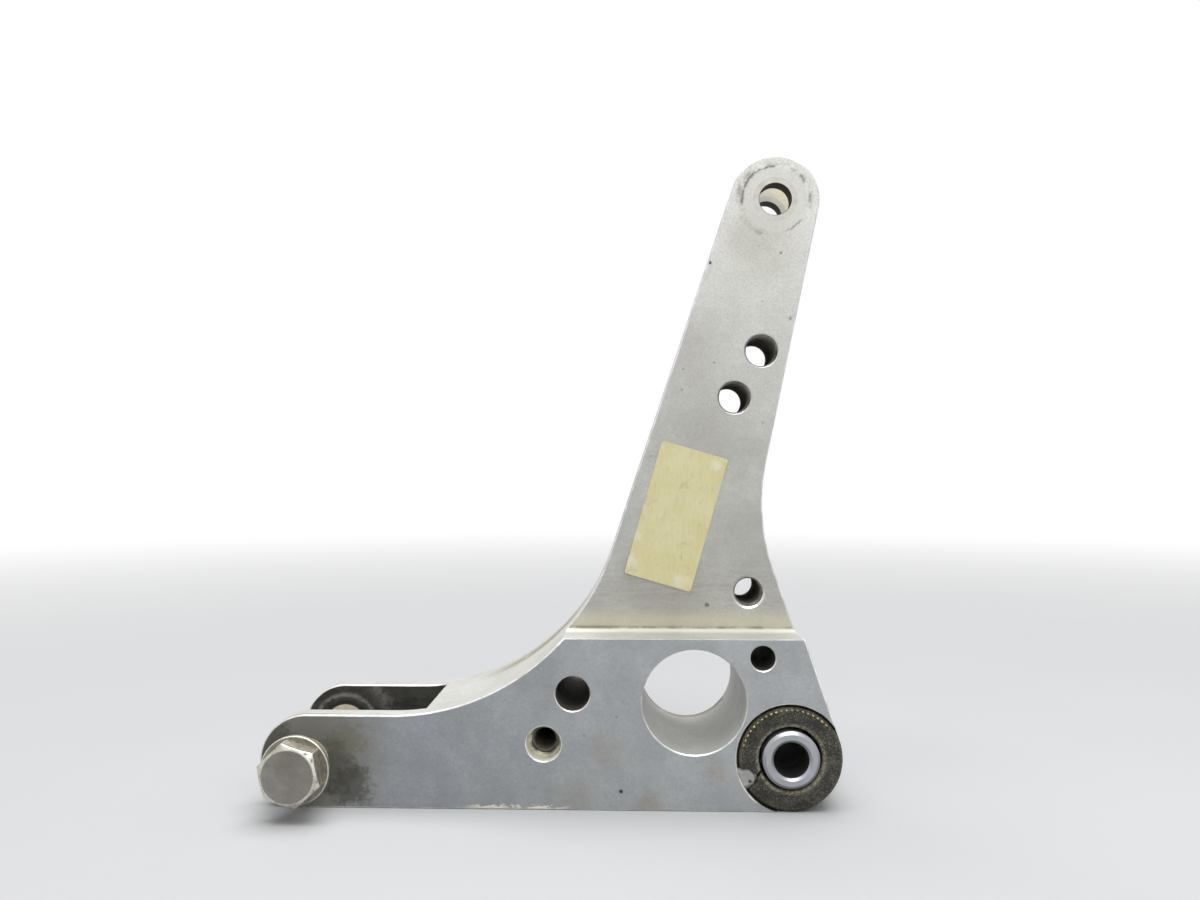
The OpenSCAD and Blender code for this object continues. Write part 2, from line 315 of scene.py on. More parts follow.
class EffectShelf:
    """Builds each shared shader group the first time that a finish asks for it."""

    @classmethod
    def tree(cls, kind: Effect) -> bpy.types.NodeTree:
        """Returns the group for an effect, and builds it if it is new.

        Args:
            kind: Which effect.

        Returns:
            The group's tree.
        """
        found = bpy.data.node_groups.get(kind.value)
        if found is not None:
            return found
        makers: dict[Effect, Callable[[], bpy.types.NodeTree]] = {
            Effect.MOTTLE: cls._mottle,
            Effect.ROUND_PATCH: cls._round_patch,
            Effect.ROUND_MARK: cls._round_mark,
            Effect.TURNED: cls._turned,
            Effect.SPECKS: cls._specks,
        }
        return makers[kind]()

    @staticmethod
    def _start(
        kind: Effect, inputs: Sequence[str], output: str, *more: str
    ) -> tuple[NodeBoard, bpy.types.NodeOutputs, bpy.types.NodeInputs]:
        """Opens a new group.

        Args:
            kind: The effect that it makes.
            inputs: Names of its number inputs, after the position.
            output: Name of its first number output.
            more: Names of its other number outputs.

        Returns:
            The board, what is given to the group and what it has to fill.
        """
        tree = bpy.data.node_groups.new(kind.value, "ShaderNodeTree")
        tree.interface.new_socket(name="Place", in_out="INPUT", socket_type="NodeSocketVector")
        for name in inputs:
            tree.interface.new_socket(name=name, in_out="INPUT", socket_type="NodeSocketFloat")
        for name in (output, *more):
            tree.interface.new_socket(name=name, in_out="OUTPUT", socket_type="NodeSocketFloat")
        board = NodeBoard(tree)
        return board, board.add("NodeGroupInput").outputs, board.add("NodeGroupOutput").inputs

    @staticmethod
    def _offsets(board: NodeBoard, given: bpy.types.NodeOutputs) -> tuple[Socket, Socket]:
        """Measures how far a position lies across from and above the group's centre.

        Args:
            board: Where the nodes go.
            given: What is given to the group.

        Returns:
            The two offsets.
        """
        x, _, z = board.parts(given["Place"])
        return board.calc("SUBTRACT", x, given["Centre x"]), board.calc("SUBTRACT", z, given["Centre z"])

    @classmethod
    def _mottle(cls) -> bpy.types.NodeTree:
        """Builds broad clouds and a fine grain.

        Returns:
            The group's tree.
        """
        board, given, result = cls._start(Effect.MOTTLE, ["Broad", "Fine"], "Cloud", "Grain")
        broad = board.cloud(given["Place"], given["Broad"], 5.0, 0.62)
        fine = board.cloud(given["Place"], given["Fine"], 4.0, 0.68)
        board.feed(result["Cloud"], board.ease(broad, 0.3, 0.7))
        board.feed(result["Grain"], board.ease(fine, 0.3, 0.7))
        return board.tree

    @classmethod
    def _round_patch(cls) -> bpy.types.NodeTree:
        """Builds a soft round patch with a ragged edge.

        Returns:
            The group's tree.
        """
        names = ["Centre x", "Centre z", "Radius", "Soft", "Wander", "Scale"]
        board, given, result = cls._start(Effect.ROUND_PATCH, names, "Mask")
        ragged = board.cloud(given["Place"], given["Scale"], 4.0, 0.65)
        shift = board.times(board.calc("SUBTRACT", ragged, 0.5), given["Wander"])
        away = board.calc("ADD", board.reach(*cls._offsets(board, given)), shift)
        inner = board.calc("SUBTRACT", given["Radius"], given["Soft"])
        outer = board.calc("ADD", given["Radius"], given["Soft"])
        board.feed(result["Mask"], board.ease(away, inner, outer, 1.0, 0.0))
        return board.tree

    @classmethod
    def _round_mark(cls) -> bpy.types.NodeTree:
        """Builds a thin broken ring, as a washer rubs it; it also draws a ring of painted shade.

        Returns:
            The group's tree.
        """
        names = ["Centre x", "Centre z", "Radius", "Width", "Gaps", "Toward x", "Toward z", "Limit"]
        board, given, result = cls._start(Effect.ROUND_MARK, names, "Mask")
        ragged = board.cloud(given["Place"], 0.9, 3.0, 0.6)
        shift = board.times(board.calc("SUBTRACT", ragged, 0.5), 0.7)
        across, up = cls._offsets(board, given)
        reach = board.reach(across, up)
        away = board.calc("ADD", reach, shift)
        off = board.calc("ABSOLUTE", board.calc("SUBTRACT", away, given["Radius"]))
        ring = board.ease(off, 0.0, given["Width"], 1.0, 0.0)
        broken = board.cloud(given["Place"], 0.33, 4.0, 0.7)
        ring = board.times(ring, board.ease(broken, given["Gaps"], board.calc("ADD", given["Gaps"], 0.16)))
        along = board.calc("ADD", board.times(across, given["Toward x"]), board.times(up, given["Toward z"]))
        facing = board.calc("DIVIDE", along, reach)
        start = board.calc("SUBTRACT", given["Limit"], 0.05)
        end = board.calc("ADD", given["Limit"], 0.05)
        board.feed(result["Mask"], board.times(ring, board.ease(facing, start, end)))
        return board.tree

    @classmethod
    def _turned(cls) -> bpy.types.NodeTree:
        """Builds the fine rings that a lathe or a cutter leaves round a centre.

        Returns:
            The group's tree.
        """
        board, given, result = cls._start(Effect.TURNED, ["Centre x", "Centre z", "Lines"], "Height")
        away = board.times(board.reach(*cls._offsets(board, given)), given["Lines"])
        along = board.add("ShaderNodeCombineXYZ", {0: away}).outputs[0]
        board.feed(result["Height"], board.cloud(along, 1.0, 2.0, 0.7))
        return board.tree

    @classmethod
    def _specks(cls) -> bpy.types.NodeTree:
        """Builds scattered specks of uneven size.

        Returns:
            The group's tree.
        """
        board, given, result = cls._start(Effect.SPECKS, ["Scale", "Size"], "Mask")
        inputs = {"Vector": given["Place"], "Scale": given["Scale"]}
        cells = board.add("ShaderNodeTexVoronoi", inputs, feature="F1").outputs
        shade = board.add("ShaderNodeSeparateColor", {0: cells["Color"]}).outputs[0]
        size = board.times(given["Size"], board.ease(shade, 0.45, 1.0))
        board.feed(result["Mask"], board.ease(cells["Distance"], 0.0, size, 1.0, 0.0))
        return board.tree


@dataclass(frozen=True)
class Surface:
    """What a finish sends to its shader."""

    colour: Socket
    rough: Socket
    height: Socket
    metal: float
    bump: float
    depth: float
    coat: float = 0.0


@dataclass(frozen=True)
class Finish:
    """A named material that is built from nodes."""

    name: str
    coat_rough: ClassVar[float] = 0.25
    built: ClassVar[dict[str, bpy.types.Material]] = {}

    def surface(self, board: NodeBoard) -> Surface:
        """Builds the finish's nodes; each finish has its own."""
        raise NotImplementedError

    def material(self) -> bpy.types.Material:
        """Returns the finish's material, and builds it if it is new.

        Returns:
            The material.
        """
        if self.name in self.built:
            return self.built[self.name]
        made = bpy.data.materials.new(self.name)
        board = NodeBoard.fresh(made)
        look = self.surface(board)
        relief = {"Strength": look.bump, "Distance": look.depth * MM, "Height": look.height}
        shader = board.add(
            "ShaderNodeBsdfPrincipled",
            {
                "Base Color": look.colour,
                "Roughness": look.rough,
                "Normal": board.add("ShaderNodeBump", relief).outputs["Normal"],
                "Metallic": look.metal,
                "Coat Weight": look.coat,
                "Coat Roughness": self.coat_rough,
            },
        )
        board.add("ShaderNodeOutputMaterial", {"Surface": shader.outputs["BSDF"]})
        self.built[self.name] = made
        return made


@dataclass(frozen=True)
class StainAndLightPatch:
    """A stain on the lever as a ragged round patch; one of them is painted light on the stepped hole's wall.
    """

    x: float
    z: float
    radius: float
    soft: float
    wander: float
    colour: Colour
    strength: float
    band: Band
    scale: float = 0.35

    def mask(self, board: NodeBoard) -> Socket:
        """Masks the patch on a board."""
        patch = board.patch((self.x, self.z), self.radius, self.soft, self.wander, self.scale)
        return board.times(board.times(patch, board.between(board.xyz[1], *self.band.value)), self.strength)


@dataclass(frozen=True)
class RubAndShadeRing:
    """A broken ring laid along a curve, all of it or half an angle either way: rub marks, and one ring of
    painted shade.
    """

    x: float
    z: float
    radius: float
    width: float
    gaps: float
    colour: Colour
    strength: float
    band: Band
    toward: float = 0.0
    half: float = 180.0
    no_limit: ClassVar[float] = -1.2

    def mask(self, board: NodeBoard) -> Socket:
        """Masks the ring.

        Args:
            board: Where the nodes go.

        Returns:
            The mark's mask.
        """
        ring = board.effect(
            Effect.ROUND_MARK,
            centre_x=self.x,
            centre_z=self.z,
            radius=self.radius,
            width=self.width,
            gaps=self.gaps,
            toward_x=math.cos(math.radians(self.toward)),
            toward_z=math.sin(math.radians(self.toward)),
            limit=math.cos(math.radians(self.half)) if self.half < 180.0 else self.no_limit,
        )["Mask"]
        return board.times(board.times(ring, board.between(board.xyz[1], *self.band.value)), self.strength)


@dataclass(frozen=True)
class AlloyFinish(Finish):
    """Matte machined light alloy with the lever's own stains, rub marks and grime, and painted light and
    shade.
    """

    # clean is the pale tone of the painted light towards the top of the arm
    clean: Colour = (0.71, 0.715, 0.682)
    pale: Colour = (0.541, 0.539, 0.502)
    dull: Colour = (0.44, 0.438, 0.409)
    streak: Colour = (0.40, 0.39, 0.36)
    fine_grain: Colour = (0.33, 0.325, 0.31)
    # Painted shade turning to painted light across the block's face, from left to right
    block_painted_shade: Colour = (0.595, 0.635, 0.725)
    block_painted_light: Colour = (0.82, 0.87, 0.95)
    smear: Colour = (0.27, 0.255, 0.235)
    speck: Colour = (0.12, 0.11, 0.1)
    grime: Colour = (0.022, 0.021, 0.017)
    # Painted shade inside the small holes' bores
    bore_painted_shade: Colour = (0.06, 0.055, 0.045)
    # Painted shade in the bearing's seat, round and behind the dust rings
    seat_painted_shade: Colour = (0.012, 0.011, 0.01)
    # Painted light inside the upper fork's slot, which is open at the top
    upper_fork_painted_light: Colour = (0.80, 0.745, 0.56)
    # Painted bounce light on the strip just above the ledge
    heel_painted_light: Colour = (0.60, 0.56, 0.41)
    # Painted light on the upward-facing ledge
    ledge_painted_light: Colour = (0.86, 0.84, 0.72)
    corner_grime: Colour = (0.13, 0.12, 0.06)
    scraped: Colour = (0.86, 0.81, 0.70)
    lower_gap: tuple[Point, Point] = ((-63.4, -63.9), (-10.03, 10.03))
    upper_gap: tuple[Point, Point] = ((81.7, 82.1), (1.47, 10.53))
    wall: float = 0.03
    bores: tuple[tuple[Point, float], ...] = (
        (UPPER_HOLES[1], 3.05),
        (UPPER_HOLES[0], 3.05),
        (HEEL_HOLES[1], 2.7),
        (HEEL_HOLES[0], 2.15),
        (PLAIN_HOLE, 3.0),
        (STEPPED_HOLE, 2.25),
    )
    # Radii and depths of the painted shade in the bearing's seat
    seats: tuple[Point, ...] = ((9.34, 12.78), (8.6, -1.0))
    seat_face: float = 13.93
    # Where the marks and the painted light and shade begin and end, in millimetres
    arm_painted_light_z: Point = (38.0, 106.0)
    arm_front_y: Point = (-1.95, -1.75)
    block_shade_to_light_x: Point = (-78.0, -8.0)
    block_front_y: Point = (-13.7, -13.2)
    smear_z: Point = (24.5, 31.0)
    heel_y: Point = (-3.0, -1.9)
    heel_z: Point = (20.4, 22.9)
    ledge_y: Point = (-6.5, -1.9)
    ledge_z: Point = (20.3, 20.5)
    corner_x: Point = (-38.5, -30.0)
    corner_y: Point = (-2.9, -1.9)
    corner_z: Point = (20.4, 20.75)
    scrape_x: Point = (-55.0, -39.0)
    scrape_z: Point = (-8.65, -8.35)
    scrape_wander: float = 3.4
    soils: tuple[StainAndLightPatch, ...] = (
        StainAndLightPatch(-83.0, 0.0, 11.5, 5.0, 5.0, (0.19, 0.18, 0.135), 0.66, Band.BLOCK_FACE),
        StainAndLightPatch(-76.2, -5.2, 3.4, 1.3, 9.0, (0.05, 0.047, 0.037), 0.66, Band.BLOCK_FACE, 0.75),
        StainAndLightPatch(-79.5, -2.0, 4.2, 1.4, 9.0, (0.055, 0.051, 0.04), 0.55, Band.BLOCK_FACE, 0.7),
        StainAndLightPatch(-90.0, 2.5, 3.6, 1.4, 7.0, (0.055, 0.051, 0.04), 0.7, Band.BLOCK_FACE, 0.7),
        StainAndLightPatch(-77.0, 2.5, 3.0, 1.2, 9.0, (0.15, 0.145, 0.09), 0.45, Band.BLOCK_FACE, 0.9),
        StainAndLightPatch(-31.5, 1.0, 3.0, 2.5, 5.0, (0.30, 0.25, 0.19), 0.32, Band.BLOCK_FACE),
        StainAndLightPatch(-24.2, -7.6, 2.0, 1.6, 3.0, (0.30, 0.24, 0.17), 0.42, Band.BLOCK_FACE),
        StainAndLightPatch(-12.6, -2.2, 1.8, 1.6, 3.0, (0.32, 0.26, 0.20), 0.36, Band.BLOCK_FACE),
        StainAndLightPatch(-37.0, -7.0, 3.2, 2.6, 5.0, (0.30, 0.25, 0.19), 0.3, Band.BLOCK_FACE),
        StainAndLightPatch(-29.1, -5.7, 0.34, 0.12, 0.6, (0.03, 0.03, 0.035), 0.95, Band.BLOCK_FACE, 1.5),
        StainAndLightPatch(-12.7, 88.2, 0.32, 0.14, 0.4, (0.04, 0.04, 0.04), 0.9, Band.ARM_FACE, 1.5),
        StainAndLightPatch(-13.4, 24.7, 0.38, 0.16, 0.8, (0.05, 0.05, 0.065), 0.9, Band.ARM_FACE, 1.5),
        StainAndLightPatch(0.5, 89.9, 0.24, 0.16, 0.5, (0.1, 0.1, 0.09), 0.75, Band.ARM_FACE, 1.5),
        StainAndLightPatch(2.2, 77.7, 0.3, 0.2, 1.0, (0.1, 0.1, 0.09), 0.7, Band.ARM_FACE, 1.5),
        StainAndLightPatch(-3.5, 93.0, 6.5, 4.0, 7.0, (0.36, 0.335, 0.27), 0.34, Band.ARM_FACE),
        StainAndLightPatch(-18.0, 72.0, 6.0, 5.0, 8.0, (0.30, 0.28, 0.25), 0.3, Band.ARM_FACE),
        StainAndLightPatch(-14.0, 56.0, 8.0, 5.0, 9.0, (0.31, 0.30, 0.27), 0.34, Band.ARM_FACE),
        StainAndLightPatch(-20.0, 27.5, 9.0, 4.0, 8.0, (0.32, 0.305, 0.275), 0.4, Band.ARM_FACE),
        StainAndLightPatch(-2.0, 35.0, 9.0, 6.0, 6.0, (0.30, 0.298, 0.29), 0.3, Band.ARM_FACE),
        StainAndLightPatch(*EYE, 5.95, 0.15, 0.4, (0.62, 0.615, 0.585), 0.5, Band.ARM_FACE),
        # Painted light on the stepped hole's counterbore wall
        StainAndLightPatch(*STEPPED_HOLE, 3.02, 0.02, 0.0, (0.86, 0.84, 0.70), 0.85, Band.STEP_WALL),
    )
    rubs: tuple[RubAndShadeRing, ...] = (
        RubAndShadeRing(*EYE, 6.5, 1.0, 0.42, (0.27, 0.255, 0.22), 0.42, Band.ARM_FACE, 90.0, 105.0),
        RubAndShadeRing(*EYE, 6.15, 0.4, 0.36, (0.11, 0.105, 0.09), 0.72, Band.ARM_FACE, 145.0, 55.0),
        RubAndShadeRing(*EYE, 6.35, 0.42, 0.44, (0.12, 0.115, 0.10), 0.66, Band.ARM_FACE, 35.0, 40.0),
        RubAndShadeRing(*EYE, 6.2, 0.36, 0.38, (0.11, 0.105, 0.09), 0.75, Band.ARM_FACE, 295.0, 24.0),
        RubAndShadeRing(*EYE, 6.9, 0.8, 0.4, (0.26, 0.235, 0.18), 0.5, Band.ARM_FACE, 190.0, 60.0),
        RubAndShadeRing(*SWEEP_CENTRE, 40.0, 1.6, 0.26, (0.16, 0.145, 0.07), 0.85, Band.SWEEP, -51.0, 15.0),
        RubAndShadeRing(*EYE, 6.15, 0.5, 0.46, (0.16, 0.15, 0.13), 0.6, Band.BACK_FACE),
        RubAndShadeRing(*FORK, 6.0, 0.7, 0.36, (0.34, 0.325, 0.285), 0.6, Band.FAR_EAR),
        RubAndShadeRing(*FORK, 9.5, 2.2, 0.47, (0.26, 0.25, 0.22), 0.55, Band.FAR_EAR, 40.0, 55.0),
        RubAndShadeRing(*FORK, 4.6, 0.5, 0.2, (0.012, 0.011, 0.01), 0.9, Band.FAR_EAR),
        RubAndShadeRing(*LIGHT_HOLE, 9.0, 0.7, 0.3, (0.24, 0.21, 0.14), 0.7, Band.HOLE_END, 250.0, 75.0),
        RubAndShadeRing(*LIGHT_HOLE, 9.0, 0.7, 0.0, (0.90, 0.89, 0.86), 0.8, Band.HOLE_LIP, 240.0, 70.0),
        # Painted shade: a dark ring on the stepped hole's step, round the smaller bore
        RubAndShadeRing(*STEPPED_HOLE, 2.3, 0.75, 0.3, (0.03, 0.028, 0.022), 0.9, Band.STEP_FLOOR),
    )

    def surface(self, board: NodeBoard) -> Surface:
        """Layers the clean metal, its stains and its grime, and painted light and shade.

        Args:
            board: Where the nodes go.

        Returns:
            The finished surface.
        """
        cloud, grain = board.mottle(0.13, 2.4)
        streaks = board.cloud(board.stretch((0.55, 0.8, 0.9)), 0.8, 5.0, 0.7)
        colour = board.blend(cloud, self.dull, self.pale)
        colour = board.blend(board.ease(streaks, 0.4, 0.7, 0.0, 0.3), colour, self.streak)
        colour = board.blend(board.ease(grain, 0.1, 1.0, 0.0, 0.3), colour, self.fine_grain)
        colour = self._lit_parts(board, grain, colour)
        colour = board.blend(self._smear(board), colour, self.smear)
        specks = board.effect(Effect.SPECKS, scale=0.34, size=0.13)["Mask"]
        colour = board.blend(board.times(specks, 0.65), colour, self.speck)
        dirt = board.times(cloud, 0.1)
        # The layers hold stains, grime and rub marks, and also painted light and shade; dirt takes all their
        # masks and raises the roughness there
        layers = [(soil.mask(board), soil.colour) for soil in self.soils]
        layers += self._grime_and_painted_light(board, cloud)
        layers += self._step_painted_light_and_grime(board)
        layers += self._seat_shade_and_scrape(board)
        layers += [(rub.mask(board), rub.colour) for rub in self.rubs]
        for mask, tone in layers:
            colour = board.blend(mask, colour, tone)
            dirt = board.calc("MAXIMUM", dirt, mask)
        rough = board.calc("ADD", board.times(grain, 0.1), board.ease(dirt, 0.0, 1.0, 0.4, 0.75))
        relief = board.calc("ADD", board.times(grain, 0.6), board.times(streaks, 0.6))
        return Surface(colour, rough, relief, metal=0.32, bump=0.25, depth=0.06)

    def _lit_parts(self, board: NodeBoard, grain: Socket, colour: Socket) -> Socket:
        """Paints light towards the top of the arm, and painted shade turning to painted light across the
        block's face.

        Args:
            board: Where the nodes go.
            grain: Fine noise.
            colour: The metal so far.

        Returns:
            The changed colour.
        """
        x, y, z = board.xyz
        front = board.ease(y, *self.arm_front_y, 1.0, 0.25)
        # Painted light: the arm's front turns paler towards its top
        rise = board.times(board.ease(z, *self.arm_painted_light_z, 0.0, 0.55), front)
        colour = board.blend(board.times(rise, board.ease(grain, 0.1, 1.0, 1.0, 0.6)), colour, self.clean)
        # Painted shade and light: the block's face is darker and bluer on the left and lighter on the right
        block_shading = board.blend(board.ease(x, *self.block_shade_to_light_x), self.block_painted_shade, self.block_painted_light)
        return board.blend(board.ease(y, *self.block_front_y, 1.0, 0.0), colour, block_shading, "MULTIPLY")

    def _smear(self, board: NodeBoard) -> Socket:
        """Masks the level smears across the foot of the arm.

        Args:
            board: Where the nodes go.

        Returns:
            The mask.
        """
        _, y, z = board.xyz
        lines = board.cloud(board.stretch((0.22, 1.0, 1.5)), 1.2, 4.0, 0.65)
        held = board.times(board.between(z, *self.smear_z, 4.0), board.between(y, *Band.ARM_FACE.value))
        return board.times(held, board.ease(lines, 0.42, 0.68, 0.05, 0.46))

    def _grime_and_painted_light(self, board: NodeBoard, cloud: Socket) -> Iterable[tuple[Socket, Colour]]:
        """Masks grime inside the lower fork, painted light inside the upper fork and painted shade in the
        small holes' bores.

        Args:
            board: Where the nodes go.
            cloud: Broad noise.

        Yields:
            Each place's mask and colour.
        """
        x, y, z = board.xyz
        patchy = board.cloud(board.stretch((0.6, 1.0, 1.0)), 0.55, 5.0, 0.7)
        uneven = board.ease(patchy, 0.3, 0.62, 0.99, 0.9)
        film = board.ease(cloud, 0.2, 0.9, 0.3, 0.7)
        for along, gap, cover, tone in (
            (x, self.lower_gap, uneven, self.grime),
            # Painted light inside the upper fork
            (z, self.upper_gap, film, self.upper_fork_painted_light),
        ):
            inside = board.times(board.ease(along, *gap[0]), board.between(y, *gap[1], 0.02))
            yield board.times(inside, cover), tone
        # Painted shade in each small hole's bore
        for centre, radius in self.bores:
            yield board.times(board.patch(centre, radius + self.wall, self.wall), uneven), self.bore_painted_shade

    def _step_painted_light_and_grime(self, board: NodeBoard) -> Iterable[tuple[Socket, Colour]]:
        """Masks painted light on the strip above the ledge and on the ledge, and the grime in the corner
        between them.

        Args:
            board: Where the nodes go.

        Yields:
            Each place's mask and colour.
        """
        x, y, z = board.xyz
        # Painted bounce light on the strip above the ledge
        heel = board.times(board.between(y, *self.heel_y), 0.5)
        yield board.times(board.between(z, *self.heel_z, 1.2), heel), self.heel_painted_light
        # Painted light on the ledge
        ledge = board.times(board.between(y, *self.ledge_y, 2.0), board.between(z, *self.ledge_z))
        yield board.times(ledge, 0.6), self.ledge_painted_light
        ragged = board.cloud(board.stretch((0.6, 1.0, 1.0)), 0.8, 4.0, 0.7)
        heavy = board.ease(board.between(x, *self.corner_x, 2.0), 0.0, 1.0, 0.0, 0.12)
        corner = board.times(board.between(z, *self.corner_z, 0.28), board.between(y, *self.corner_y, 0.25))
        dark = board.ease(board.calc("ADD", ragged, heavy), 0.42, 0.62, 0.1, 0.85)
        yield board.times(corner, dark), self.corner_grime

    def _seat_shade_and_scrape(self, board: NodeBoard) -> Iterable[tuple[Socket, Colour]]:
        """Masks the painted shade in the bearing's seat and the scrape along the underside.

        Args:
            board: Where the nodes go.

        Yields:
            Each place's mask and colour.
        """
        x, y, z = board.xyz
        depth = board.calc("ABSOLUTE", y)
        # Painted shade in the seat's gap round each dust ring and behind it
        for radius, shallow in self.seats:
            seat = board.patch(PIVOT, radius, self.wall)
            deep = board.times(seat, board.between(depth, shallow, self.seat_face, 0.02))
            yield board.times(deep, 0.93), self.seat_painted_shade
        scrape = board.cloud(board.stretch((0.5, 1.0, 1.6)), 1.1, 3.0, 0.7)
        low = board.calc("ADD", z, board.times(board.calc("SUBTRACT", scrape, 0.5), self.scrape_wander))
        scuff = board.times(board.ease(low, *self.scrape_z, 1.0, 0.0), board.between(x, *self.scrape_x, 2.0))
        yield board.times(scuff, 0.85), self.scraped


@dataclass(frozen=True)
class EdgeFinish(Finish):
    """Bright metal where the lever's edges were broken and then rubbed."""

    bright: Colour = (0.83, 0.83, 0.81)
    worn: Colour = (0.55, 0.545, 0.52)
    grime: Colour = (0.10, 0.09, 0.07)
    fork_x: Point = (-64.2, -64.6)
    fork_y: Point = (-9.9, 9.9)

    def surface(self, board: NodeBoard) -> Surface:
        """Mixes bright, worn and soiled metal along the edges.

        Args:
            board: Where the nodes go.

        Returns:
            The finished surface.
        """
        x, y, _ = board.xyz
        cloud, grain = board.mottle(0.45, 3.0)
        colour = board.blend(cloud, self.worn, self.bright)
        fork = board.times(board.ease(x, *self.fork_x), board.between(y, *self.fork_y, 0.1))
        colour = board.blend(board.times(fork, 0.35), colour, self.grime)
        colour = board.blend(board.times(grain, 0.2), colour, self.worn)
        rough = board.ease(grain, 0.0, 1.0, 0.28, 0.48)
        return Surface(colour, rough, grain, metal=0.6, bump=0.15, depth=0.04)


@dataclass(frozen=True)
class TurnedSteel(Finish):
    """Turned or ground steel with fine rings round its axis, a film of dirt and painted shade inside its
    bore.
    """

    clean: Colour = (0.62, 0.63, 0.65)
    soil: Colour = (0.2, 0.18, 0.14)
    soiled: float = 0.3
    polish: float = 0.25
    centre: Point = PIVOT
    metal: float = 0.75
    bore_r: float = 0.0
    # bore is the tone of the painted shade inside the bore
    bore: Colour = (0.02, 0.018, 0.016)
    lines: float = 9.0

    def surface(self, board: NodeBoard) -> Surface:
        """Mixes clean and soiled steel over lathe rings, with painted shade inside the bore.

        Args:
            board: Where the nodes go.

        Returns:
            The finished surface.
        """
        cloud, grain = board.mottle(0.5, 2.2)
        x, z = self.centre
        rings = board.effect(Effect.TURNED, centre_x=x, centre_z=z, lines=self.lines)["Height"]
        dirt = board.times(cloud, self.soiled)
        colour = board.blend(dirt, self.clean, self.soil)
        colour = board.blend(board.ease(rings, 0.35, 0.65, 0.0, 0.14), colour, self.soil)
        # Painted shade inside bore_r of the centre
        hole = board.patch(self.centre, self.bore_r, 0.04)
        colour = board.blend(board.times(hole, 0.95), colour, self.bore)
        rough = board.calc("ADD", board.times(grain, 0.1), board.ease(dirt, 0.0, 1.0, self.polish, 0.7))
        rough = board.calc("MAXIMUM", rough, board.times(hole, 0.85))
        return Surface(colour, rough, rings, metal=self.metal, bump=0.06, depth=0.02)


@dataclass(frozen=True)
class PlatedSteel(Finish):
    """Dull plated fastener steel, yellowed and stained with old oil."""

    plate: Colour = (0.245, 0.234, 0.221)
    yellow: Colour = (0.45, 0.42, 0.28)
    stain: Colour = (0.15, 0.13, 0.115)
    pitted: Colour = (0.07, 0.06, 0.05)
    stained: float = 0.6
    head_y: Point = (-23.1, -22.7)

    def surface(self, board: NodeBoard) -> Surface:
        """Mixes plating, its yellow film and brown stains.

        Args:
            board: Where the nodes go.

        Returns:
            The finished surface.
        """
        cloud, grain = board.mottle(0.16, 2.6)
        film = board.ease(board.cloud(board.place, 0.45, 5.0, 0.7), 0.38, 0.66)
        flank = board.ease(board.xyz[1], *self.head_y, 0.25, 1.0)
        colour = board.blend(board.times(film, flank), self.plate, self.yellow)
        dirt = board.times(cloud, self.stained)
        colour = board.blend(dirt, colour, self.stain)
        pits = board.effect(Effect.SPECKS, scale=1.3, size=0.28)["Mask"]
        colour = board.blend(board.times(pits, 0.55), colour, self.pitted)
        rough = board.calc("ADD", board.times(grain, 0.12), board.ease(dirt, 0.0, 1.0, 0.3, 0.6))
        height = board.calc("SUBTRACT", board.times(grain, 0.5), pits)
        return Surface(colour, rough, height, metal=0.6, bump=0.25, depth=0.05)


@dataclass(frozen=True)
class BrightRim(Finish):
    """Plating rubbed through to bright steel on a fastener's edges."""

    bright: Colour = (0.74, 0.73, 0.68)
    dull: Colour = (0.42, 0.40, 0.32)

    def surface(self, board: NodeBoard) -> Surface:
        """Mixes bright and dull metal along the edges.

        Args:
            board: Where the nodes go.

        Returns:
            The finished surface.
        """
        cloud, grain = board.mottle(0.25, 2.0)
        colour = board.blend(cloud, self.dull, self.bright)
        rough = board.ease(grain, 0.0, 1.0, 0.22, 0.42)
        return Surface(colour, rough, grain, metal=0.7, bump=0.05, depth=0.02)


@dataclass(frozen=True)
class BrassFinish(Finish):
    """Brass under a film of oil and dirt, with a painted glint above a leaning line and painted shade below
    it.
    """

    clean: Colour
    soil: Colour
    soiled: float
    # Painted glint above this leaning line, painted shade below it
    lit_above: float = -100.0
    lean: float = 0.2
    fade: float = 2.0

    def surface(self, board: NodeBoard) -> Surface:
        """Mixes clean and soiled brass, with painted shade below the leaning line.

        Args:
            board: Where the nodes go.

        Returns:
            The finished surface.
        """
        cloud, grain = board.mottle(0.8, 4.0)
        x, _, z = board.xyz
        # Painted shade below the leaning line and a painted glint above it; dirt takes both
        height = board.calc("SUBTRACT", z, board.times(x, self.lean))
        low = board.ease(height, self.lit_above - self.fade, self.lit_above + self.fade, 0.95, 0.0)
        dirt = board.calc("MAXIMUM", board.times(cloud, self.soiled), low)
        colour = board.blend(dirt, self.clean, self.soil)
        rough = board.ease(dirt, 0.0, 1.0, 0.26, 0.7)
        return Surface(colour, rough, grain, metal=0.7, bump=0.2, depth=0.03)


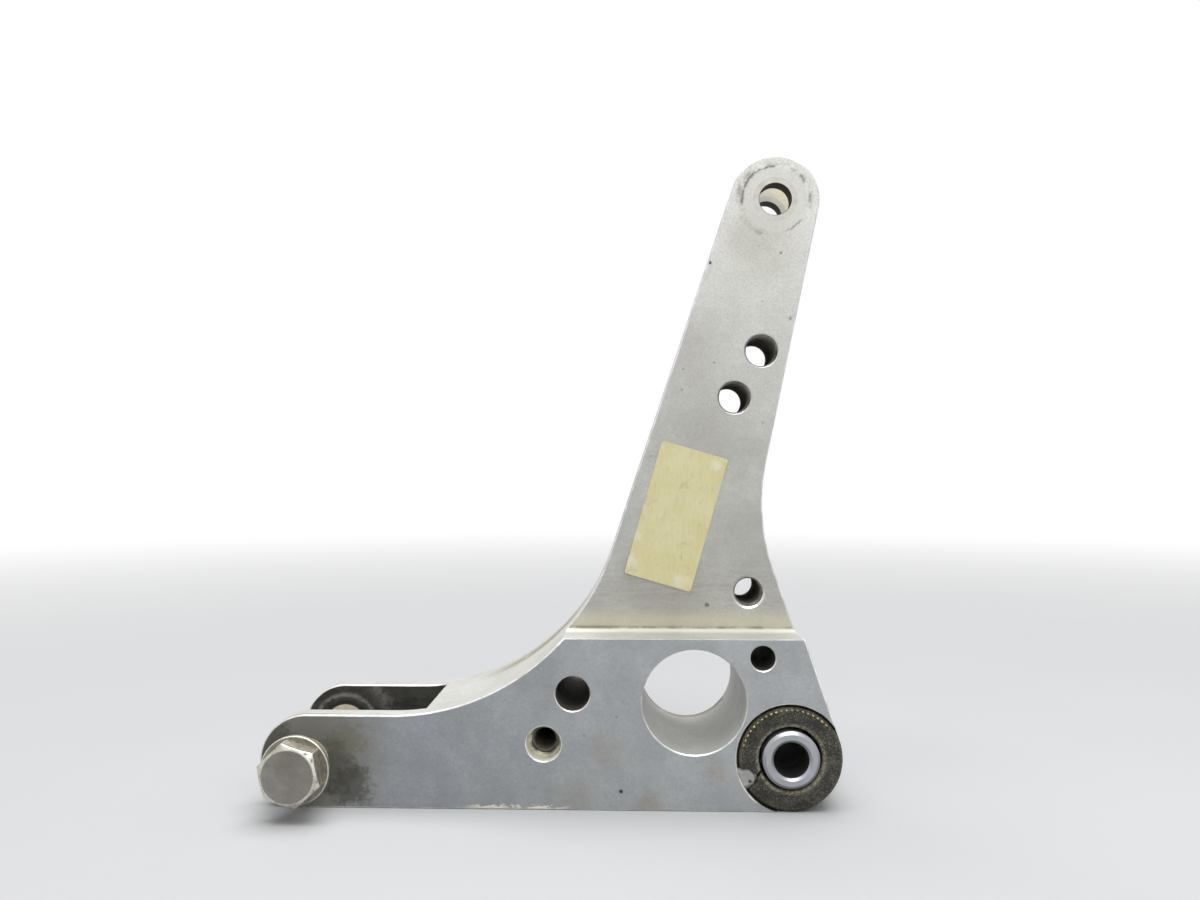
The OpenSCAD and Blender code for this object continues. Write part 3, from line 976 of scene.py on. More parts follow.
@dataclass(frozen=True)
class DustRingFinish(Finish):
    """Oily fibre of the dust rings: dark olive with paler shoulders, which are painted highlight."""

    inner_r: float
    outer_r: float
    dark: Colour = (0.009, 0.0085, 0.006)
    olive: Colour = (0.032, 0.03, 0.02)
    speck: Colour = (0.20, 0.19, 0.14)
    smudge: Colour = (0.10, 0.094, 0.066)
    # Painted highlight on the inner shoulder; rim is the painted highlight on the outer shoulder
    shoulder_highlight: Colour = (0.42, 0.40, 0.275)
    rim: Colour = (0.24, 0.215, 0.13)
    inner_highlight_band: Point = (0.12, 0.85)
    outer_highlight_band: Point = (0.6, 0.2)

    def surface(self, board: NodeBoard) -> Surface:
        """Mixes oily fibre with dust, and paints highlight on the shoulders.

        Args:
            board: Where the nodes go.

        Returns:
            The finished surface.
        """
        x, _, z = board.xyz
        cloud, grain = board.mottle(0.55, 3.6)
        away = board.reach(x, z)
        fibre = board.cloud(board.place, 2.1, 4.0, 0.7)
        smudge = board.cloud(board.place, 0.34, 4.0, 0.62)
        # Painted highlight: paler bands along the inner and outer shoulders
        inner = board.ease(away, *(self.inner_r + n for n in self.inner_highlight_band), 1.0, 0.0)
        outer = board.ease(away, *(self.outer_r - n for n in self.outer_highlight_band))
        colour = board.blend(cloud, self.dark, self.olive)
        for mask, tone in (
            (board.ease(grain, 0.52, 0.95, 0.0, 0.6), self.speck),
            (board.ease(smudge, 0.48, 0.6, 0.0, 0.8), self.dark),
            (board.ease(smudge, 0.46, 0.34, 0.0, 0.5), self.smudge),
            (board.times(inner, board.ease(fibre, 0.42, 0.6, 0.16, 0.9)), self.shoulder_highlight),
            (board.times(outer, board.ease(fibre, 0.46, 0.62, 0.05, 0.45)), self.rim),
        ):
            colour = board.blend(mask, colour, tone)
        rough = board.ease(fibre, 0.3, 0.7, 0.42, 0.78)
        height = board.calc("ADD", board.times(fibre, 1.2), grain)
        return Surface(colour, rough, height, metal=0.0, bump=0.5, depth=0.12)


@dataclass(frozen=True)
class FillerFinish(Finish):
    """Pale dried filler in the dust ring's notch, dirty towards its lower edge."""

    pale: Colour = (0.40, 0.405, 0.39)
    dirty: Colour = (0.16, 0.145, 0.095)
    pitted: Colour = (0.05, 0.04, 0.035)
    pit_r: float = 0.26
    dirty_z: Point = (-4.0, -5.6)

    def surface(self, board: NodeBoard) -> Surface:
        """Mixes pale filler, dirt and one dark pit.

        Args:
            board: Where the nodes go.

        Returns:
            The finished surface.
        """
        cloud, grain = board.mottle(0.6, 2.5)
        low = board.ease(board.xyz[2], *self.dirty_z)
        colour = board.blend(board.calc("MAXIMUM", low, board.times(cloud, 0.35)), self.pale, self.dirty)
        colour = board.blend(board.patch(FILLER_PIT, self.pit_r, 0.1, 0.2, 2.0), colour, self.pitted)
        rough = board.ease(grain, 0.0, 1.0, 0.5, 0.7)
        return Surface(colour, rough, grain, metal=0.0, bump=0.3, depth=0.06)


@dataclass(frozen=True)
class PaperFinish(Finish):
    """Aged cream sticker paper under a worn glossy film."""

    cream: Colour = (0.665, 0.61, 0.315)
    faded: Colour = (0.725, 0.68, 0.415)
    soil: Colour = (0.38, 0.33, 0.16)
    bleached: Colour = (0.80, 0.77, 0.64)
    bare: Colour = (0.86, 0.85, 0.76)
    worn: tuple[tuple[Point, float], ...] = (
        ((-27.6, 33.2), 1.1),
        ((-26.4, 37.4), 0.7),
        ((-24.7, 43.6), 0.5),
        ((-18.4, 29.4), 0.9),
        ((-11.4, 50.4), 0.6),
    )

    def surface(self, board: NodeBoard) -> Surface:
        """Mixes faded paper, fibres and handling dirt.

        Args:
            board: Where the nodes go.

        Returns:
            The finished surface.
        """
        cloud, _ = board.mottle(0.16, 1.7)
        fibre = board.cloud(board.stretch((2.6, 2.6, 0.3)), 1.1, 4.0, 0.7)
        wear = board.cloud(board.place, 0.35, 5.0, 0.7)
        colour = board.blend(cloud, self.cream, self.faded)
        colour = board.blend(board.ease(fibre, 0.5, 0.75, 0.0, 0.28), colour, self.soil)
        colour = board.blend(board.ease(wear, 0.55, 0.72, 0.0, 0.45), colour, self.soil)
        colour = board.blend(board.ease(wear, 0.36, 0.24, 0.0, 0.5), colour, self.bleached)
        for centre, radius in self.worn:
            spot = board.patch(centre, radius, 0.9, 4.0, 0.6)
            colour = board.blend(board.times(spot, 0.5), colour, self.bare)
        rough = board.ease(wear, 0.35, 0.65, 0.34, 0.6)
        height = board.calc("ADD", fibre, board.times(wear, 2.0))
        return Surface(colour, rough, height, metal=0.0, bump=0.25, depth=0.08, coat=0.18)


class MeshBench:
    """Makes, copies and finishes mesh objects."""

    merge: ClassVar[float] = 2e-6
    flat: ClassVar[float] = math.radians(0.25)
    sharp_cast: ClassVar[float] = math.radians(40.0)
    sharp_copy: ClassVar[float] = math.radians(32.0)
    slope: ClassVar[Point] = (0.3, 0.95)

    @staticmethod
    def place(name: str, mesh: bpy.types.Mesh) -> Thing:
        """Puts a mesh in the scene as an object at the origin.

        Args:
            name: The object's name.
            mesh: Its mesh.

        Returns:
            The object.
        """
        made = bpy.data.objects.new(name, mesh)
        bpy.context.scene.collection.objects.link(made)
        return made

    @classmethod
    def from_faces(
        cls, name: str, points: Sequence[Vector], faces: Sequence[Sequence[int]], finish: Finish
    ) -> Thing:
        """Makes an object from points and faces, without the points that no face uses.

        Args:
            name: Its name.
            points: Corners in metres.
            faces: Corner numbers of each face.
            finish: Its finish.

        Returns:
            The object.
        """
        mesh = bpy.data.meshes.new(name)
        mesh.from_pydata([tuple(p) for p in points], [], [tuple(f) for f in faces])
        mesh.validate()
        bench = bmesh.new()
        bench.from_mesh(mesh)
        bmesh.ops.delete(bench, geom=[v for v in bench.verts if not v.link_faces], context="VERTS")
        bmesh.ops.recalc_face_normals(bench, faces=bench.faces)
        bench.to_mesh(mesh)
        bench.free()
        mesh.materials.append(finish.material())
        mesh.shade_smooth()
        mesh.set_sharp_from_angle(angle=cls.sharp_cast)
        return cls.place(name, mesh)

    @staticmethod
    def grid(columns: int, rows: int, wraps: bool = False) -> list[Quad]:
        """Numbers the corners of a grid's faces, row by row.

        Args:
            columns: Faces in a row.
            rows: Rows of faces.
            wraps: Whether each row runs back to its start.

        Returns:
            The faces.
        """
        width = columns if wraps else columns + 1
        quads: list[Quad] = []
        for j in range(0, rows * width, width):
            for i in range(columns):
                n = (i + 1) % width
                quads.append((j + i, j + n, j + width + n, j + width + i))
        return quads

    @classmethod
    def shell(cls, name: str, points: Sequence[Vector], quads: Sequence[Quad], finish: Finish) -> Thing:
        """Makes a closed shell from two like layers of points.

        Args:
            name: Its name.
            points: The points of the outer layer and then of the inner one, in metres.
            quads: Corner numbers of the outer layer's faces.
            finish: Its finish.

        Returns:
            The shell.
        """
        layer = len(points) // 2
        sides = dict.fromkeys(pair for quad in quads for pair in zip(quad, quad[1:] + quad[:1]))
        walls = [(b, a, layer + a, layer + b) for a, b in sides if (b, a) not in sides]
        inner = [tuple(layer + k for k in reversed(quad)) for quad in quads]
        return cls.from_faces(name, points, [*quads, *inner, *walls], finish)

    @classmethod
    def broken_edges(
        cls,
        node: Thing,
        name: str,
        width: float,
        finishes: tuple[Finish, Finish],
        keep: Callable[[Vector], bool] | None = None,
        steep: float = 50.0,
        cut_y: float | None = None,
    ) -> Thing:
        """Copies a solid with its outer edges broken.

        Args:
            node: The solid.
            name: Name of the copy.
            width: Width of the broken edge, in millimetres.
            finishes: Finish of the faces and of the broken edges.
            keep: Says of a point in millimetres whether its edge is broken; without it all are.
            steep: Smallest angle between two faces whose edge is broken, in degrees.
            cut_y: Where the copy ends towards the back, in millimetres.

        Returns:
            The copy.
        """
        bench = bmesh.new()
        bench.from_mesh(node.data)
        bmesh.ops.remove_doubles(bench, verts=bench.verts, dist=cls.merge)
        if cut_y is not None:
            everything = [*bench.verts, *bench.edges, *bench.faces]
            plane = {"plane_co": (0, cut_y * MM, 0), "plane_no": (0, 1, 0)}
            cut = bmesh.ops.bisect_plane(bench, geom=everything, clear_outer=True, **plane)
            rim = [e for e in cut["geom_cut"] if isinstance(e, bmesh.types.BMEdge)]
            bmesh.ops.edgeloop_fill(bench, edges=rim)
        bmesh.ops.dissolve_limit(bench, angle_limit=cls.flat, verts=bench.verts, edges=bench.edges)
        weight = bench.edges.layers.float.new("bevel_weight_edge")
        for edge in bench.edges:
            outward = len(edge.link_faces) == 2 and edge.is_convex
            if outward and edge.calc_face_angle() > math.radians(steep):
                middle = (edge.verts[0].co + edge.verts[1].co) / 2 / MM
                edge[weight] = 1.0 if keep is None or keep(middle) else 0.0
        mesh = bpy.data.meshes.new(name)
        bench.to_mesh(mesh)
        bench.free()
        stale = mesh.attributes.get("custom_normal")
        if stale is not None:
            mesh.attributes.remove(stale)
        mesh.materials.clear()
        for finish in finishes:
            mesh.materials.append(finish.material())
        for face in mesh.polygons:
            face.material_index = 1 if cls.slope[0] < abs(face.normal.y) < cls.slope[1] else 0
        mesh.shade_smooth()
        mesh.set_sharp_from_angle(angle=cls.sharp_copy)
        draft = cls.place(name + "_draft", mesh)
        bevel = draft.modifiers.new("broken_edge", "BEVEL")
        bevel.width = width * MM
        bevel.segments = 2
        bevel.limit_method = "WEIGHT"
        bevel.use_clamp_overlap = False
        bevel.material = 1
        shade = draft.modifiers.new("even_shade", "WEIGHTED_NORMAL")
        shade.keep_sharp = True
        return cls.settle(draft, name)

    @classmethod
    def settle(cls, draft: Thing, name: str) -> Thing:
        """Turns an object with modifiers into a plain mesh and removes the draft.

        Args:
            draft: The object with live modifiers.
            name: Name of the plain object.

        Returns:
            The plain object.
        """
        bpy.context.view_layer.update()
        ready = draft.evaluated_get(bpy.context.evaluated_depsgraph_get())
        mesh = bpy.data.meshes.new_from_object(ready)
        mesh.name = name
        bpy.data.objects.remove(draft)
        return cls.place(name, mesh)


class ShapeTree:
    """A Geometry Nodes tree with named inputs, which ends in plain geometry and a material."""

    kinds: ClassVar[dict[type, str]] = {
        float: "NodeSocketFloat",
        int: "NodeSocketInt",
        tuple: "NodeSocketVector",
    }
    sharp: ClassVar[float] = math.radians(50.0)

    def __init__(self, name: str, **inputs: float | int | tuple) -> None:
        """Opens the tree.

        Args:
            name: Its name.
            inputs: Its inputs after the material, with their usual values.
        """
        self.tree = bpy.data.node_groups.new(name, "GeometryNodeTree")
        face = self.tree.interface
        face.new_socket(name="Geometry", in_out="INPUT", socket_type="NodeSocketGeometry")
        self.paint = face.new_socket(name="Material", in_out="INPUT", socket_type="NodeSocketMaterial")
        self.keys = {}
        for key, value in inputs.items():
            kind = self.kinds[type(value)]
            self.keys[key] = face.new_socket(name=key.capitalize(), in_out="INPUT", socket_type=kind)
            self.keys[key].default_value = value
        face.new_socket(name="Geometry", in_out="OUTPUT", socket_type="NodeSocketGeometry")
        self.board = NodeBoard(self.tree)
        self.given = self.board.add("NodeGroupInput").outputs

    def close(self, geometry: Socket, turn: float, place: Socket) -> None:
        """Ends the tree: lays the geometry along Y, realises it and sets its material.

        Args:
            geometry: What the tree made.
            turn: Angle about X that lays it along Y.
            place: Where it goes.
        """
        lay = {"Geometry": geometry, "Rotation": Euler((turn, 0.0, 0.0)), "Translation": place}
        laid = self.board.add("GeometryNodeTransform", lay).outputs["Geometry"]
        real = self.board.add("GeometryNodeRealizeInstances", {"Geometry": laid}).outputs["Geometry"]
        paint = {"Geometry": real, "Material": self.given["Material"]}
        coat = self.board.add("GeometryNodeSetMaterial", paint).outputs["Geometry"]
        self.board.add("NodeGroupOutput", {"Geometry": coat})

    def make(self, name: str, finish: Finish, **values: float | int | tuple) -> Thing:
        """Runs the tree once.

        Args:
            name: Name of the object that it makes.
            finish: Its finish.
            values: Inputs by name.

        Returns:
            A plain mesh object.
        """
        draft = MeshBench.place(name + "_draft", bpy.data.meshes.new(name + "_draft"))
        modifier = draft.modifiers.new("shape", "NODES")
        modifier.node_group = self.tree
        modifier[self.paint.identifier] = finish.material()
        for key, value in values.items():
            modifier[self.keys[key].identifier] = value
        made = MeshBench.settle(draft, name)
        made.data.shade_smooth()
        made.data.set_sharp_from_angle(angle=self.sharp)
        return made


class ThreadTree(ShapeTree):
    """Winds a ridge along a helix that runs back from a starting point."""

    def __init__(self) -> None:
        """Builds the tree."""
        super().__init__("thread", start=(0.0, 0.0, 0.0), radius=0.003, length=0.01, turns=10.0, ridge=0.0003)
        board, given = self.board, self.given
        winding = {
            "Resolution": 40,
            "Rotations": given["Turns"],
            "Start Radius": given["Radius"],
            "End Radius": given["Radius"],
            "Height": given["Length"],
        }
        helix = board.add("GeometryNodeCurveSpiral", winding).outputs["Curve"]
        upright = board.add("GeometryNodeSetCurveNormal", {"Curve": helix}, mode="Z_UP").outputs["Curve"]
        section = {"Resolution": 4, "Radius": given["Ridge"]}
        profile = board.add("GeometryNodeCurvePrimitiveCircle", section).outputs["Curve"]
        path = {"Curve": upright, "Profile Curve": profile, "Fill Caps": True}
        sweep = board.add("GeometryNodeCurveToMesh", path).outputs["Mesh"]
        self.close(sweep, -math.pi / 2, given["Start"])


class CrimpTree(ShapeTree):
    """Sets small rounded crimps side by side round a ring."""

    least: ClassVar[float] = 0.6
    most: ClassVar[float] = 1.15

    def __init__(self) -> None:
        """Builds the tree."""
        size = (0.0003, 0.0002, 0.0002)
        super().__init__("crimps", centre=(0.0, 0.0, 0.0), radius=0.0086, count=57, size=size, seed=4)
        board, given = self.board, self.given
        circle = {"Vertices": given["Count"], "Radius": given["Radius"]}
        ring = board.add("GeometryNodeMeshCircle", circle).outputs["Mesh"]
        bead = board.add("GeometryNodeMeshIcoSphere", {"Radius": 1.0, "Subdivisions": 2}).outputs["Mesh"]
        spot = board.add("GeometryNodeInputPosition").outputs[0]
        outward = board.add("FunctionNodeAlignRotationToVector", {"Vector": spot}, axis="X").outputs[0]
        spread = {2: self.least, 3: self.most, "Seed": given["Seed"]}
        chance = board.add("FunctionNodeRandomValue", spread, data_type="FLOAT").outputs[1]
        grown = {0: given["Size"], "Scale": chance}
        scale = board.add("ShaderNodeVectorMath", grown, operation="SCALE").outputs[0]
        setting = {"Points": ring, "Instance": bead, "Rotation": outward, "Scale": scale}
        beads = board.add("GeometryNodeInstanceOnPoints", setting).outputs["Instances"]
        self.close(beads, math.pi / 2, given["Centre"])


@dataclass(frozen=True)
class TappedHole:
    """A small hole with a thread."""

    name: str
    centre: Point
    radius: float
    y_from: float = -1.2
    y_to: float = 13.6


@dataclass
class Lever:
    """The one-piece lever with broken edges and threaded small holes."""

    edge_break: float = 0.26
    seat_r: float = 10.2
    seat_rim: Point = (45.0, 236.0)
    rim_y: float = 13.9
    bush_r: float = 4.6
    step_r: float = 2.6
    ridge: float = 0.28
    pitch: float = 0.8
    tapped: tuple[TappedHole, ...] = (
        TappedHole("heel_thread", HEEL_HOLES[1], 2.7),
        TappedHole("low_thread", STEPPED_HOLE, 2.25, -10.7),
        TappedHole("upper_thread_low", UPPER_HOLES[0], 3.05),
        TappedHole("upper_thread_high", UPPER_HOLES[1], 3.05),
    )

    def build(self, nodes: dict[str, Thing], threads: ThreadTree) -> list[Thing]:
        """Builds the lever and its threads.

        Args:
            nodes: The solids by name.
            threads: The tree that winds a thread.

        Returns:
            The pieces that it made.
        """
        finishes = (AlloyFinish("soiled_alloy"), EdgeFinish("rubbed_edge"))
        lever = MeshBench.broken_edges(
            nodes["lever_body"], "lever", self.edge_break, finishes, self._is_open_edge
        )
        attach(lever, "lever")
        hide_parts("lever_body")
        pieces = [lever]
        bore = TurnedSteel("thread_alloy", (0.34, 0.33, 0.29), (0.08, 0.07, 0.05), 0.7, metal=0.35)
        for hole in self.tapped:
            x, z = hole.centre
            length = hole.y_to - hole.y_from
            thread = threads.make(
                hole.name,
                bore,
                start=(x * MM, hole.y_from * MM, z * MM),
                radius=hole.radius * MM,
                length=length * MM,
                turns=length / self.pitch,
                ridge=self.ridge * MM,
            )
            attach(thread, "lever")
            pieces.append(thread)
        return pieces

    def _is_open_edge(self, at: Vector) -> bool:
        """Says whether an edge lies clear of the pivot's seat and the bush holes.

        Args:
            at: A point on the edge, in millimetres.

        Returns:
            True where the edge is broken.
        """
        spot = (at.x, at.z)
        if math.dist(spot, PIVOT) < self.seat_r:
            around = math.degrees(math.atan2(at.z, at.x)) % 360.0
            return abs(at.y) > self.rim_y and self.seat_rim[0] < around < self.seat_rim[1]
        stepped = math.dist(spot, STEPPED_HOLE) < self.step_r and at.y < 0.0
        return math.dist(spot, EYE) > self.bush_r and math.dist(spot, FORK) > self.bush_r and not stepped


@dataclass
class ForkBolt:
    """The loose bolt through the lower fork, with its washers, castle nut and cotter pin."""

    shank_r: float = 2.97
    root_r: float = 2.52
    thread_y: float = 14.6
    end_y: float = 23.2
    pitch: float = 0.8
    ridge: float = 0.34
    ridge_rise: float = 0.1
    run_out: float = 0.7
    lap: float = 0.4
    tip: float = 0.5
    core_slack: float = 0.02
    core_step: float = 0.05
    bolt_edge: float = 0.14
    nut_edge: float = 0.12
    washer_edge: float = 0.16
    head_y: float = -19.5
    head_r: float = 3.3
    nut_r: float = 3.2
    steep: float = 24.0
    steps: int = 64

    def build(self, nodes: dict[str, Thing], threads: ThreadTree) -> list[Thing]:
        """Builds the bolt and what is on it.

        Args:
            nodes: The solids by name.
            threads: The tree that winds a thread.

        Returns:
            The pieces that it made.
        """
        finishes = (PlatedSteel("plated_steel"), BrightRim("bright_rim"))
        dark = PlatedSteel("thread_steel", plate=(0.40, 0.385, 0.34), stained=0.75)
        bolt = MeshBench.broken_edges(
            nodes["clevis_bolt"], "bolt", self.bolt_edge, finishes, self._is_head, self.steep, self.thread_y
        )
        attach(bolt, "bolt_set")
        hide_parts("clevis_bolt")
        core = self._core(dark)
        length = self.end_y - self.run_out - self.thread_y
        thread = threads.make(
            "bolt_thread",
            dark,
            start=(FORK[0] * MM, self.thread_y * MM, FORK[1] * MM),
            radius=(self.root_r + self.ridge_rise) * MM,
            length=length * MM,
            turns=length / self.pitch,
            ridge=self.ridge * MM,
        )
        pieces = [bolt, core, thread]
        for piece in (core, thread):
            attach(piece, "bolt_set")
        nut = MeshBench.broken_edges(
            nodes["castle_nut"], "nut", self.nut_edge, finishes, self._is_outside, self.steep
        )
        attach(nut, "bolt_set")
        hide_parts("castle_nut")
        pieces.append(nut)
        for name in ("head_washer", "nut_washer"):
            washer = MeshBench.broken_edges(nodes[name], name.replace("_", ""), self.washer_edge, finishes)
            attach(washer, "washers")
            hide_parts(name)
            pieces.append(washer)
        return pieces

    def _is_head(self, at: Vector) -> bool:
        """Says whether an edge belongs to the bolt's head."""
        return at.y < self.head_y and math.dist((at.x, at.z), FORK) > self.head_r

    def _is_outside(self, at: Vector) -> bool:
        """Says whether an edge lies outside the nut's bore."""
        return math.dist((at.x, at.z), FORK) > self.nut_r

    def _core(self, finish: Finish) -> Thing:
        """Turns the threaded end's core with a chamfered tip.

        Args:
            finish: Its finish.

        Returns:
            The core.
        """
        profile = [
            (self.thread_y - self.lap, 0.0),
            (self.thread_y - self.lap, self.shank_r - self.core_slack),
            (self.thread_y + self.core_step, self.root_r),
            (self.end_y - self.tip, self.root_r),
            (self.end_y, self.root_r - self.tip),
            (self.end_y, 0.0),
        ]
        points: list[Vector] = []
        faces: list[tuple[int, ...]] = []
        rings: list[list[int]] = []
        for y, r in profile:
            count = 1 if r == 0.0 else self.steps
            rings.append(list(range(len(points), len(points) + count)))
            for i in range(count):
                a = math.tau * i / self.steps
                points.append(Vector((FORK[0] + r * math.cos(a), y, FORK[1] + r * math.sin(a))) * MM)
        for low, high in zip(rings, rings[1:]):
            for i in range(self.steps):
                j = (i + 1) % self.steps
                corners = [low[i % len(low)], low[j % len(low)], high[j % len(high)], high[i % len(high)]]
                faces.append(tuple(dict.fromkeys(corners)))
        return MeshBench.from_faces("bolt_core", points, faces, finish)


@dataclass
class NotchFiller:
    """The pale filler that lies in the broken place of the front dust ring."""

    back_y: float
    steps: int = 34
    rows: int = 20
    start: float = 190.9
    end: float = 214.6
    inner_r: float = 7.6
    dip: float = 0.85
    outer_r: float = 9.26
    face_y: float = 13.42
    swell: float = 0.4
    edge: float = 6.0
    lumps: float = 0.06
    pit_depth: float = 0.3
    pit_spread: float = 0.09

    def build(self) -> Thing:
        """Builds the filler as a closed shell.

        Returns:
            The filler.
        """
        outer: list[Vector] = []
        inner: list[Vector] = []
        for j in range(self.rows + 1):
            t = j / self.rows
            for i in range(self.steps + 1):
                s = i / self.steps
                a = math.radians(self.start + (self.end - self.start) * s)
                low = self.inner_r - self.dip * math.sin(math.pi * min(1.0, s * 1.05)) ** 0.7
                r = low + (self.outer_r - low) * t
                x, z = r * math.cos(a), r * math.sin(a)
                rise = self.swell * min(1.0, min(s, 1 - s, t + 0.04) * self.edge)
                lump = self.lumps * noise.noise(Vector((x, z, 5.0)) * 1.4)
                away = (x - FILLER_PIT[0]) ** 2 + (z - FILLER_PIT[1]) ** 2
                y = self.face_y + rise + lump - self.pit_depth * math.exp(-(away / self.pit_spread))
                outer.append(Vector((x, -y, z)) * MM)
                inner.append(Vector((x, -self.back_y, z)) * MM)
        quads = MeshBench.grid(self.steps, self.rows)
        return MeshBench.shell("notch_filler", outer + inner, quads, FillerFinish("dried_filler"))


@dataclass
class PivotBearing:
    """What is made for the pivot: dust rings with crimped rims, and the filler in the notch."""

    inner_r: float = 5.45
    outer_r: float = 8.9
    face_y: float = 14.0
    back_y: float = 12.8
    shoulder: float = 0.55
    around: int = 420
    across: int = 26
    crowding: float = 0.35
    sink: float = 0.06
    fibre: float = 0.055
    crimps: int = 57
    crimp_sink: float = 0.09
    crimp_inset: float = 0.52
    crimp_size: Triple = (0.16, 0.27, 0.17)
    bare: Point = (187.0, 219.0)
    notch: tuple[Point, ...] = (
        (190.0, 9.9),
        (193.0, 7.46),
        (205.0, 6.5),
        (213.0, 6.74),
        (215.0, 8.42),
        (217.0, 9.9),
    )
    crack: tuple[Point, ...] = ((194.5, 4.45), (203.5, 4.45), (208.6, 6.8), (204.6, 6.8))

    def build(self, crimps: CrimpTree) -> list[Thing]:
        """Builds the rings, their crimps and the filler.

        Args:
            crimps: The tree that sets the crimps.

        Returns:
            The pieces that it made.
        """
        fibre = DustRingFinish("oily_fibre", self.inner_r, self.outer_r)
        # The crimps are gold only above the leaning line: painted glints on the top of the rim, painted shade
        # below
        gold = BrassFinish("crimp_brass", (0.78, 0.62, 0.27), (0.07, 0.062, 0.035), 0.6, lit_above=4.4)
        pieces: list[Thing] = []
        for side in Side:
            label = side.name.lower()
            ring = self._ring(f"{label}_dust_ring", side, fibre)
            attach(ring, "lever")
            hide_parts(f"{label}_cover_ring")
            teeth = crimps.make(
                f"{label}_crimps",
                gold,
                centre=(0.0, side.value * (self.face_y - self.crimp_sink) * MM, 0.0),
                radius=(self.outer_r - self.crimp_inset) * MM,
                count=self.crimps,
                size=tuple(n * MM for n in self.crimp_size),
            )
            if side is Side.FRONT:
                self._clear_notch(teeth)
            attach(teeth, "lever")
            pieces += [ring, teeth]
        filler = NotchFiller(self.back_y).build()
        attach(filler, "lever")
        pieces.append(filler)
        return pieces

    @staticmethod
    def _inside(at: Vector, corners: Sequence[Point]) -> bool:
        """Tests whether a point lies inside an outline of angle and radius pairs.

        Args:
            at: The point, in millimetres.
            corners: The outline, in degrees and millimetres.

        Returns:
            True inside.
        """
        flat = [(r * math.cos(math.radians(a)), r * math.sin(math.radians(a))) for a, r in corners]
        inside = False
        for (x0, z0), (x1, z1) in zip(flat, flat[1:] + flat[:1]):
            if (z0 > at.z) != (z1 > at.z) and at.x < (x1 - x0) * (at.z - z0) / (z1 - z0) + x0:
                inside = not inside
        return inside

    def _drop(self, r: float) -> float:
        """Measures how far the rounded shoulders lie below the ring's face.

        Args:
            r: Radius, in millimetres.

        Returns:
            The drop at that radius.
        """
        edge = min(r - self.inner_r, self.outer_r - r)
        if edge >= self.shoulder:
            return 0.0
        return self.shoulder - math.sqrt(max(0.0, self.shoulder**2 - (self.shoulder - edge) ** 2))

    def _ring(self, name: str, side: Side, finish: Finish) -> Thing:
        """Builds one dust ring as a fibrous closed shell, with the notch and crack at the front.

        Args:
            name: Its name.
            side: Which end of the pivot it covers.
            finish: Its finish.

        Returns:
            The ring.
        """
        outer: list[Vector] = []
        inner: list[Vector] = []
        for j in range(self.across + 1):
            share = 0.5 - 0.5 * math.cos(math.pi * j / self.across)
            way = self.crowding * share + (1.0 - self.crowding) * j / self.across
            r = self.inner_r + (self.outer_r - self.inner_r) * way
            for i in range(self.around):
                a = math.tau * i / self.around
                x, z = r * math.cos(a), r * math.sin(a)
                rough = noise.noise(Vector((x, z, 3.0)) * 2.2) + 0.6 * noise.noise(Vector((x, z, 9.0)) * 5.0)
                y = self.face_y - self._drop(r) - self.sink + self.fibre * rough
                outer.append(Vector((x, side.value * y, z)) * MM)
                inner.append(Vector((x, side.value * self.back_y, z)) * MM)
        quads = MeshBench.grid(self.around, self.across, wraps=True)
        if side is Side.FRONT:
            quads = [quad for quad in quads if not self._is_broken([outer[k] for k in quad])]
        return MeshBench.shell(name, outer + inner, quads, finish)

    def _is_broken(self, corners: Sequence[Vector]) -> bool:
        """Says whether a face lies in the notch or the crack."""
        middle = sum(corners, Vector()) / len(corners) / MM
        return self._inside(middle, self.notch) or self._inside(middle, self.crack)

    def _clear_notch(self, teeth: Thing) -> None:
        """Removes the crimps that the notch broke away.

        Args:
            teeth: The front ring's crimps.
        """
        bench = bmesh.new()
        bench.from_mesh(teeth.data)
        gone = []
        for vert in bench.verts:
            angle = math.degrees(math.atan2(vert.co.z, vert.co.x)) % 360
            if self.bare[0] < angle < self.bare[1]:
                gone.append(vert)
        bmesh.ops.delete(bench, geom=gone, context="VERTS")
        bench.to_mesh(teeth.data)
        bench.free()


